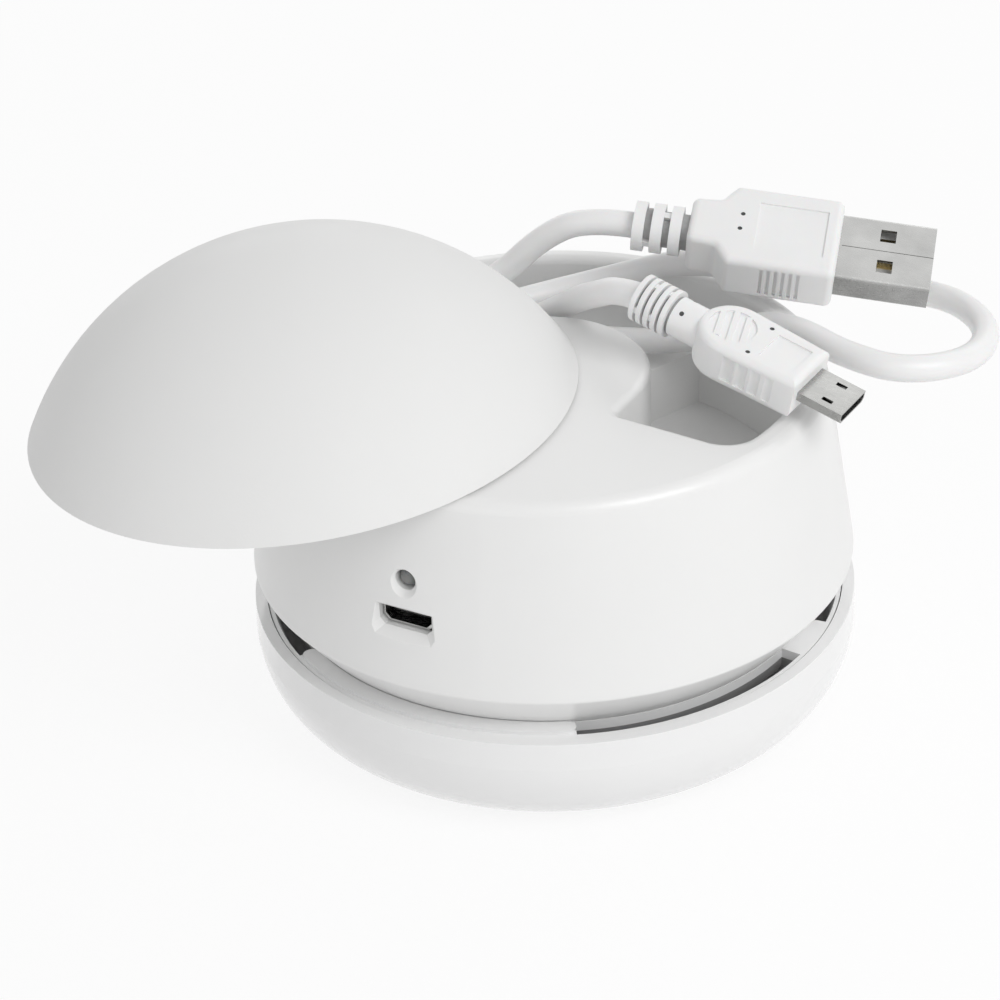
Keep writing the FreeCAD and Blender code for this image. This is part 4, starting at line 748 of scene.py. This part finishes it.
HOUSING_WHITE = MouldedPlastic("housing_satin_white", (0.86, 0.86, 0.855), 0.34, Grain.SATIN, coat=0.12)
LID_WHITE = MouldedPlastic("lid_matte_white", (0.83, 0.83, 0.825), 0.62, Grain.MATTE, specular=0.3)
RING_GLOSS = MouldedPlastic("ring_gloss_white", PLAIN_WHITE, 0.16, Grain.POLISHED, coat=0.5)
DISH_GLOSS = MouldedPlastic("dish_gloss_white", PLAIN_WHITE, 0.14, Grain.POLISHED, coat=0.6)
TRAY_WHITE = MouldedPlastic("tray_satin_white", (0.84, 0.84, 0.835), 0.4, Grain.SATIN)
INNER_GREY = MouldedPlastic("inner_moulding_grey", (0.25, 0.25, 0.25), 0.5, Grain.COARSE)
FAN_GREY = MouldedPlastic("fan_dark_grey", (0.10, 0.10, 0.105), 0.42, Grain.SATIN)
BLACK_PLASTIC = MouldedPlastic("connector_black", (0.02, 0.02, 0.02), 0.45, Grain.SATIN)
TONGUE_WHITE = MouldedPlastic("tongue_white", (0.84, 0.84, 0.84), 0.35, Grain.SATIN)
SLIDER_GREY = MouldedPlastic("slider_pale_grey", (0.60, 0.60, 0.60), 0.5, Grain.MATTE)
NYLON = MouldedPlastic("washer_nylon", (0.74, 0.73, 0.68), 0.45, Grain.SATIN)
CELL_WRAP = MouldedPlastic("cell_film_wrap", (0.32, 0.40, 0.50), 0.28, Grain.POLISHED, coat=0.3)
CHIP_BLACK = MouldedPlastic("chip_black", (0.025, 0.025, 0.027), 0.55, Grain.COARSE)
# Painted shade: the pin marks are coloured dark where the real dimples are only in shade.
PIN_SHADE = MouldedPlastic("pin_mark_shade", (0.06, 0.06, 0.06), 0.6, Grain.MATTE)
PLUG_WHITE = SoftMould("plug_soft_white", PLAIN_WHITE)
CORD_WHITE = SoftMould("cord_sheath_white", PLAIN_WHITE, roughness=0.36, relief=0.006 * MM)
BRISTLE_BLACK = SoftMould("bristle_nylon", (0.03, 0.03, 0.032), roughness=0.5, tone=0.3)
# Both relief finishes darken the grooves between their rings as painted shade.
USB_A_RELIEF = RingedMould("usb_a_relief_white", PLAIN_WHITE, plug=USB_A_FRAME,
                           core_radius=2.75 * MM, ring_radius=3.45 * MM)
MICRO_B_RELIEF = RingedMould("micro_b_relief_white", PLAIN_WHITE, plug=MICRO_B_FRAME,
                             core_radius=2.55 * MM, ring_radius=2.85 * MM)
PAD_RUBBER = Rubber("pad_rubber_grey", (0.10, 0.10, 0.10))
GASKET_RUBBER = Rubber("gasket_rubber_black", (0.05, 0.05, 0.05))
NICKEL = DrawnMetal("shell_bright_nickel", (0.58, 0.58, 0.57), 0.24)
# Painted shade: the USB-A shell's sides are coloured darker than its upper face.
PLUG_NICKEL = DrawnMetal("plug_shell_nickel", (0.60, 0.60, 0.59), 0.24, lit_face=USB_A_FRAME.up)
DARK_NICKEL = DrawnMetal("shell_dark_nickel", (0.42, 0.42, 0.41), 0.28)
ZINC = DrawnMetal("zinc_plated_steel", (0.55, 0.55, 0.57), 0.34)
STEEL = DrawnMetal("drawn_steel", (0.58, 0.58, 0.59), 0.28)
BRASS = DrawnMetal("brass", (0.72, 0.55, 0.26), 0.30)
GOLD = DrawnMetal("contact_gold", (0.86, 0.72, 0.42), 0.2)
FILTER_CLOTH = WovenCloth("filter_weave", (0.62, 0.62, 0.60), (0.30, 0.30, 0.29))
BOARD_GREEN = BoardLacquer("board_lacquer", (0.02, 0.16, 0.07), (0.05, 0.27, 0.12))
LIGHT_LENS = FrostedLens("charge_light_lens", (0.26, 0.265, 0.26))

_made: dict[str, bpy.types.Material] = {}


def material_of(finish: Finish) -> bpy.types.Material:
    """The material of a finish, built once.

    Args:
        finish: Finish to look up.

    Returns:
        The material that every piece with this finish shares.
    """
    if finish.name not in _made:
        shading = Shading(finish.name)
        finish.paint(shading)
        _made[finish.name] = shading.material
    return _made[finish.name]


def add_mesh(name: str, mesh: bmesh.types.BMesh, finish: Finish) -> bpy.types.Object:
    """Put a finished mesh in the scene.

    Args:
        name: Name of the object and of its mesh.
        mesh: Mesh to use up.
        finish: Finish of the whole mesh.

    Returns:
        The new object.
    """
    data = bpy.data.meshes.new(name)
    mesh.to_mesh(data)
    mesh.free()
    data.materials.append(material_of(finish))
    return add_object(name, data)


# ---------------------------------------------------------------------------
# Sub-assemblies
# ---------------------------------------------------------------------------

@dataclass
class SubAssembly:
    """Pieces of one body of the cleaner, with the finish of each CAD node."""

    body: str = "housing"
    crease: float = 32.0
    finishes: dict[str, Finish] = field(default_factory=dict)

    def smooth(self, piece: bpy.types.Object) -> None:
        """Shade a CAD node smooth, with creases kept sharp.

        Args:
            piece: Object whose shading is set. Its vertices stay.
        """
        mesh = piece.data
        if "custom_normal" in mesh.attributes:
            mesh.attributes.remove(mesh.attributes["custom_normal"])
        mesh.shade_smooth()
        mesh.set_sharp_from_angle(angle=math.radians(self.crease))

    def dress(self) -> None:
        """Give every CAD node of this sub-assembly its shading and material."""
        for name, finish in self.finishes.items():
            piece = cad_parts[name]
            self.smooth(piece)
            piece.data.materials.clear()
            piece.data.materials.append(material_of(finish))
            LOG.info("%s: node %s in %s", self.body, name, finish.name)


@dataclass
class Housing(SubAssembly):
    """Upper body with the lead store, charging socket and light, switch body, board and battery."""

    finishes: dict[str, Finish] = field(default_factory=lambda: {
        "upper_housing": HOUSING_WHITE,
        "usb_port_shell": NICKEL,
        "usb_port_tongue": BLACK_PLASTIC,
        "charge_light": LIGHT_LENS,
        "light_legs": STEEL,
        "switch_body": BLACK_PLASTIC,
        "circuit_board": BOARD_GREEN,
        "board_components": CHIP_BLACK,
        "board_screws": ZINC,
        "battery_cell": CELL_WRAP,
        "battery_cradle": INNER_GREY,
        "housing_screws": ZINC,
    })


@dataclass
class Base(SubAssembly):
    """Dish, slotted vent ring, chassis, filter and pads."""

    finishes: dict[str, Finish] = field(default_factory=lambda: {
        "base_dish": DISH_GLOSS,
        "vent_ring": RING_GLOSS,
        "chassis_plate": INNER_GREY,
        "base_pads": PAD_RUBBER,
        "filter_frame": INNER_GREY,
        "filter_mesh": FILTER_CLOTH,
        "filter_gasket": GASKET_RUBBER,
        "dish_screws": ZINC,
    })


@dataclass
class Blower(SubAssembly):
    """Fan cover and motor, fixed in the housing."""

    finishes: dict[str, Finish] = field(default_factory=lambda: {
        "fan_cover": INNER_GREY,
        "cover_screws": ZINC,
        "motor_can": STEEL,
        "motor_endcap": BLACK_PLASTIC,
        "motor_bushes": BRASS,
        "motor_terminals": BRASS,
        "motor_screws": ZINC,
    })


@dataclass
class Rotor(SubAssembly):
    """Impeller on the motor's shaft."""

    body: str = "rotor"
    finishes: dict[str, Finish] = field(default_factory=lambda: {
        "impeller": FAN_GREY,
        "motor_shaft": STEEL,
    })


@dataclass
class SwivelLid(SubAssembly):
    """Domed lid with its pivot screw and washers."""

    body: str = "lid"
    finishes: dict[str, Finish] = field(default_factory=lambda: {
        "lid_dome": LID_WHITE,
        "lid_thrust_washer": NYLON,
        "lid_spring_washer": STEEL,
        "lid_pivot_screw": ZINC,
    })


@dataclass
class Switch(SubAssembly):
    """Cap of the slide switch."""

    body: str = "switch"
    finishes: dict[str, Finish] = field(default_factory=lambda: {"switch_slider": SLIDER_GREY})


@dataclass
class DustTray(SubAssembly):
    """Twist-off tray with the brush round its suction inlet."""

    body: str = "tray"
    tufts: int = 24
    tuft_radius: float = 0.55 * MM
    bristles_per_tuft: int = 26
    bristle_radius: float = 0.07 * MM
    bristle_corners: int = 3
    tip_share: float = 0.6
    tip_spread: float = 0.12 * MM
    lean: float = 0.22 * MM
    seed: int = 11
    finishes: dict[str, Finish] = field(default_factory=lambda: {
        "dust_tray": TRAY_WHITE,
        "brush_ring": INNER_GREY,
    })

    def add_bristle(self, mesh: bmesh.types.BMesh, root: Vector, tip: Vector) -> None:
        """Add one bristle that tapers down to its tip.

        Args:
            mesh: Mesh under construction.
            root: Point in the holder.
            tip: Free end, below the root.
        """
        first = Vector((self.bristle_radius, 0.0, 0.0))
        second = Vector((0.0, self.bristle_radius, 0.0))
        end = add_ring(mesh, tip, first * self.tip_share, second * self.tip_share, self.bristle_corners)
        held = add_ring(mesh, root, first, second, self.bristle_corners)
        join_rings(mesh, end, held)
        mesh.faces.new(held)
        mesh.faces.new(end[::-1])

    def build_bristles(self) -> bpy.types.Object:
        """Build the bristle ring in the space of the CAD tufts.

        Returns:
            The bristle object, riding on the tray.
        """
        low, high = (Vector(corner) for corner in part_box("brush_tufts"))
        ring_radius = (high.x - low.x) / 2 - self.tuft_radius
        dice = random.Random(self.seed)
        mesh = bmesh.new()
        for tuft in range(self.tufts):
            centre = polar(tuft * math.tau / self.tufts) * ring_radius
            for _ in range(self.bristles_per_tuft):
                outward = polar(dice.uniform(0.0, math.tau))
                out = math.sqrt(dice.random()) * (self.tuft_radius - self.lean)
                root = centre + outward * out + Vector((0.0, 0.0, high.z))
                level = Vector((0.0, 0.0, low.z + dice.uniform(0.0, self.tip_spread)))
                tip = centre + outward * (out + dice.uniform(0.0, self.lean)) + level
                self.add_bristle(mesh, root, tip)
        piece = add_mesh("brush_bristles", mesh, BRISTLE_BLACK)
        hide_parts("brush_tufts")
        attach(piece, self.body)
        LOG.info("%s: piece brush_bristles, %d bristles", self.body, self.tufts * self.bristles_per_tuft)
        return piece


@dataclass
class ChargingLead(SubAssembly):
    """Lead with a USB-A plug and a micro-B plug, joined by a limp cord.

    The route and the places of the marks are in millimetres. A face mark is a plug and its place along,
    across and over that plug. A neck mark is an angle in degrees round the neck from its top.
    """

    body: str = "lead"
    diameter: float = 3.9 * MM
    length: float = 0.376
    round_steps: int = 10
    run_steps: int = 14
    pin_radius: float = 0.34 * MM
    pin_depth: float = 0.2 * MM
    pin_corners: int = 20
    pin_hollow: float = 0.12 * MM
    hollow_share: float = 0.6
    hollow_level: float = 0.7
    face_marks: tuple[tuple[PlugFrame, float, float, float], ...] = (
        (USB_A_FRAME, -15.2, 1.8, 3.94),
        (USB_A_FRAME, -15.3, -1.0, 3.94),
        (MICRO_B_FRAME, -9.0, 3.2, 3.14),
        (MICRO_B_FRAME, -9.0, -3.4, 3.14),
    )
    neck_marks: tuple[float, ...] = (38.0, -38.0)
    neck_mark_along: float = -20.6
    neck_radius: float = 2.915 * MM
    route: tuple[Point, ...] = (
        # out of the USB-A relief and down behind the lid
        (1.31, 25.88, 63.53), (-5.76, 23.5, 64.39), (-13.0, 23.0, 60.0), (-19.5, 22.0, 53.0),
        (-26.0, 16.0, 49.6), (-30.5, 6.5, 51.8),
        # upper turn under the lid
        (-29.6, -2.0, 54.9), (-26.4, -8.6, 57.6), (-20.4, -10.8, 59.6), (-14.4, -8.0, 60.8),
        (-12.6, -1.4, 60.6), (-15.0, 5.4, 57.4),
        # out below the rim and behind the USB-A plug
        (-20.0, 13.2, 50.2), (-15.0, 22.5, 49.8), (-5.0, 29.5, 52.0), (4.5, 33.5, 55.0),
        (14.0, 35.5, 55.2), (25.0, 37.8, 54.8), (37.0, 41.0, 53.8),
        # open loop past the edge
        (46.5, 42.0, 53.2), (54.5, 34.0, 53.4), (56.0, 22.0, 54.4), (49.0, 13.0, 55.4), (39.5, 14.0, 55.8),
        # under the micro-B plug and down to the trench floor
        (31.5, 19.0, 55.4), (24.0, 23.5, 53.0), (15.5, 26.0, 48.5), (6.5, 27.5, 44.5), (-3.5, 27.5, 42.8),
        (-14.5, 24.5, 42.6), (-24.5, 18.0, 42.6), (-31.0, 8.5, 42.7),
        # lower turn in the trench
        (-32.2, 0.6, 43.3), (-32.0, -4.8, 44.2), (-28.3, -8.4, 45.2), (-22.9, -8.4, 46.2),
        (-19.1, -4.8, 47.0), (-18.6, 1.2, 47.8),
        # out below the rim, up over the hub and into the micro-B relief
        (-16.3, 8.8, 48.8), (-12.8, 12.7, 49.8), (-8.8, 15.2, 51.4), (-4.4, 15.2, 54.2), (-0.2, 12.2, 57.5),
        (4.0, 8.5, 60.4), (8.7, 5.3, 63.5), (13.12, 4.24, 63.59),
    )
    finishes: dict[str, Finish] = field(default_factory=lambda: {
        "usb_a_overmould": PLUG_WHITE,
        "usb_a_strain_relief": USB_A_RELIEF,
        "usb_a_shell": PLUG_NICKEL,
        "usb_a_tongue": TONGUE_WHITE,
        "usb_a_contacts": GOLD,
        "micro_b_overmould": PLUG_WHITE,
        "micro_b_strain_relief": MICRO_B_RELIEF,
        "micro_b_shell": DARK_NICKEL,
        "micro_b_tongue": BLACK_PLASTIC,
    })

    def add_pin_mark(self, mesh: bmesh.types.BMesh, centre: Vector, out: Vector, hollow: float) -> None:
        """Add one round mark that a mould pin leaves, sunk in the plug's skin. Its dark colour is painted
        shade of the pin's dimple.

        Args:
            mesh: Mesh under construction.
            centre: Middle of the mark's rim.
            out: Unit vector out of the skin.
            hollow: Depth of the hollow in its face.
        """
        first = out.orthogonal().normalized() * self.pin_radius
        second = out.cross(first)
        foot = add_ring(mesh, centre - out * self.pin_depth, first, second, self.pin_corners)
        rim = add_ring(mesh, centre, first, second, self.pin_corners)
        inner = add_ring(mesh, centre - out * hollow * self.hollow_level, first * self.hollow_share,
                         second * self.hollow_share, self.pin_corners)
        middle = mesh.verts.new(centre - out * hollow)
        join_rings(mesh, foot, rim)
        join_rings(mesh, rim, inner)
        for corner, vertex in enumerate(inner):
            mesh.faces.new((inner[corner - 1], vertex, middle))
        mesh.faces.new(foot[::-1])

    def build_pin_marks(self) -> bpy.types.Object:
        """Build the pin marks on both plugs and on the micro-B neck.

        Returns:
            The marks, riding on the lead.
        """
        mesh = bmesh.new()
        for plug, along, across, up in self.face_marks:
            self.add_pin_mark(mesh, plug.point(along, across, up), plug.up, self.pin_hollow)
        neck = MICRO_B_FRAME
        foot = neck.point(self.neck_mark_along, 0.0, 0.0)
        for angle in map(math.radians, self.neck_marks):
            out = neck.up * math.cos(angle) + neck.side * math.sin(angle)
            self.add_pin_mark(mesh, foot + out * self.neck_radius, out, 0.0)
        # The marks take the dark colour of PIN_SHADE, which is painted shade.
        piece = add_mesh("plug_pin_marks", mesh, PIN_SHADE)
        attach(piece, self.body)
        LOG.info("%s: piece plug_pin_marks", self.body)
        return piece

    def build_cord(self) -> bpy.types.Object:
        """Build the cord as one smooth spline through its route, with its plugs' marks.

        Returns:
            The cord, riding on the lead.
        """
        marks = self.build_pin_marks()
        curve = bpy.data.curves.new("charging_cord", "CURVE")
        curve.dimensions = "3D"
        curve.bevel_depth = self.diameter / 2
        curve.bevel_resolution = self.round_steps
        curve.resolution_u = self.run_steps
        curve.use_fill_caps = True
        curve.materials.append(material_of(CORD_WHITE))
        spline = curve.splines.new("NURBS")
        spline.points.add(len(self.route) - 1)
        for control, point in zip(spline.points, self.route):
            control.co = (*(Vector(point) * MM), 1.0)
        spline.order_u = 3
        spline.use_endpoint_u = True
        piece = add_object("charging_cord", curve)
        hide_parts("usb_cord")
        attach(piece, self.body)
        LOG.info("%s: piece charging_cord, %.0f mm", self.body, self.length / MM)
        return piece


# ---------------------------------------------------------------------------
# Studio
# ---------------------------------------------------------------------------

@dataclass
class SoftBox:
    """A square area lamp aimed at the middle of the body."""

    name: str
    place: Point
    width: float
    power: float
    aim: Point = (0.0, 0.0, 0.04)

    def build(self) -> bpy.types.Object:
        """Build the lamp.

        Returns:
            The lamp object.
        """
        data = bpy.data.lights.new(self.name, "AREA")
        data.shape = "SQUARE"
        data.size = self.width
        data.energy = self.power
        lamp = add_object(self.name, data)
        lamp.location = self.place
        way = Vector(self.aim) - Vector(self.place)
        lamp.rotation_euler = way.to_track_quat("-Z", "Y").to_euler()
        return lamp


@dataclass
class Studio:
    """Pale floor, white surround, soft boxes and the camera."""

    floor_width: float = 6.0
    floor_gap: float = 0.05 * MM
    floor_colour: Colour = (0.94, 0.94, 0.94)
    floor_glow: float = 0.88
    ambient: float = 0.52
    camera_place: Point = (0.1595, -0.2915, 0.2237)
    camera_right: Point = (0.8761, 0.4807, -0.0373)
    camera_down: Point = (0.2142, -0.4575, -0.8630)
    nearest: float = 10.0 * MM
    sensor: float = 36.0
    focal_pixels: float = 2600.0
    frame_pixels: float = 1000.0
    lamps: tuple[SoftBox, ...] = (
        SoftBox("key_box", (0.62, -0.20, 0.60), width=0.45, power=3.1),
        SoftBox("back_box", (0.15, 0.70, 0.55), width=0.50, power=0.8),
        SoftBox("rear_fill", (-0.55, 0.52, 0.26), width=0.50, power=0.6),
        SoftBox("front_box", (-0.10, -0.80, 0.30), width=0.50, power=0.5, aim=(0.0, 0.0, 0.03)),
    )

    def floor_material(self) -> bpy.types.Material:
        """Matte floor with a share of white for the camera's and the reflections' rays.

        Returns:
            The floor material.
        """
        material = bpy.data.materials.new("floor_white")
        material.use_nodes = True
        material.node_tree.nodes.clear()
        wiring = Wiring(material.node_tree)
        matte = wiring.node("ShaderNodeBsdfDiffuse")
        matte.inputs["Color"].default_value = (*self.floor_colour, 1.0)
        glow = wiring.node("ShaderNodeEmission")
        mix = wiring.node("ShaderNodeMixShader")
        output = wiring.node("ShaderNodeOutputMaterial")
        sources = (wiring.seen(self.floor_glow), matte.outputs["BSDF"], glow.outputs["Emission"])
        for source, target in zip(sources, mix.inputs):
            wiring.link(source, target)
        wiring.link(mix.outputs["Shader"], output.inputs["Surface"])
        return material

    def build_floor(self) -> bpy.types.Object:
        """Build the floor, which shows white and still takes the object's shadow.

        Returns:
            The floor object.
        """
        half = self.floor_width / 2
        outline = ((-half, -half), (half, -half), (half, half), (-half, half))
        corners = [(x, y, -self.floor_gap) for x, y in outline]
        data = bpy.data.meshes.new("floor")
        data.from_pydata(corners, [], [range(len(corners))])
        data.materials.append(self.floor_material())
        floor = add_object("floor", data)
        return floor

    def build_world(self) -> None:
        """White surround for the camera and reflections, dimmer as a light on the object."""
        world = bpy.data.worlds.new("surround")
        world.use_nodes = True
        world.node_tree.nodes.clear()
        wiring = Wiring(world.node_tree)
        background = wiring.node("ShaderNodeBackground")
        background.inputs["Color"].default_value = (1.0, 1.0, 1.0, 1.0)
        output = wiring.node("ShaderNodeOutputWorld")
        strength = wiring.ranged(wiring.seen(1.0), (0.0, 1.0), (self.ambient, 1.0))
        wiring.link(strength, background.inputs["Strength"])
        wiring.link(background.outputs["Background"], output.inputs["Surface"])
        bpy.context.scene.world = world

    def build_camera(self) -> bpy.types.Object:
        """Place the camera.

        Returns:
            The camera object.
        """
        data = bpy.data.cameras.new("camera")
        data.sensor_width = self.sensor
        data.lens = self.focal_pixels * self.sensor / self.frame_pixels
        data.clip_start = self.nearest
        camera = add_object("camera", data)
        right = Vector(self.camera_right).normalized()
        up = -Vector(self.camera_down).normalized()
        back = right.cross(up).normalized()
        turn = Matrix((right, back.cross(right), back)).transposed().to_4x4()
        camera.matrix_world = Matrix.Translation(self.camera_place) @ turn
        bpy.context.scene.camera = camera
        return camera

    def build(self) -> None:
        """Build the whole studio and set the view transform."""
        self.build_camera()
        self.build_floor()
        self.build_world()
        for lamp in self.lamps:
            lamp.build()
        bpy.context.scene.view_settings.view_transform = "Standard"
        LOG.info("studio: %d lamps", len(self.lamps))


def main() -> None:
    """Build the studio and every sub-assembly."""
    logging.basicConfig(level=logging.INFO, format="%(name)s %(message)s")
    Studio().build()
    lead = ChargingLead()
    lead.build_cord()
    tray = DustTray()
    tray.build_bristles()
    for assembly in (Housing(), Base(), Blower(), Rotor(), SwivelLid(), Switch(), tray, lead):
        assembly.dress()


if __name__ == "__main__":
    main()
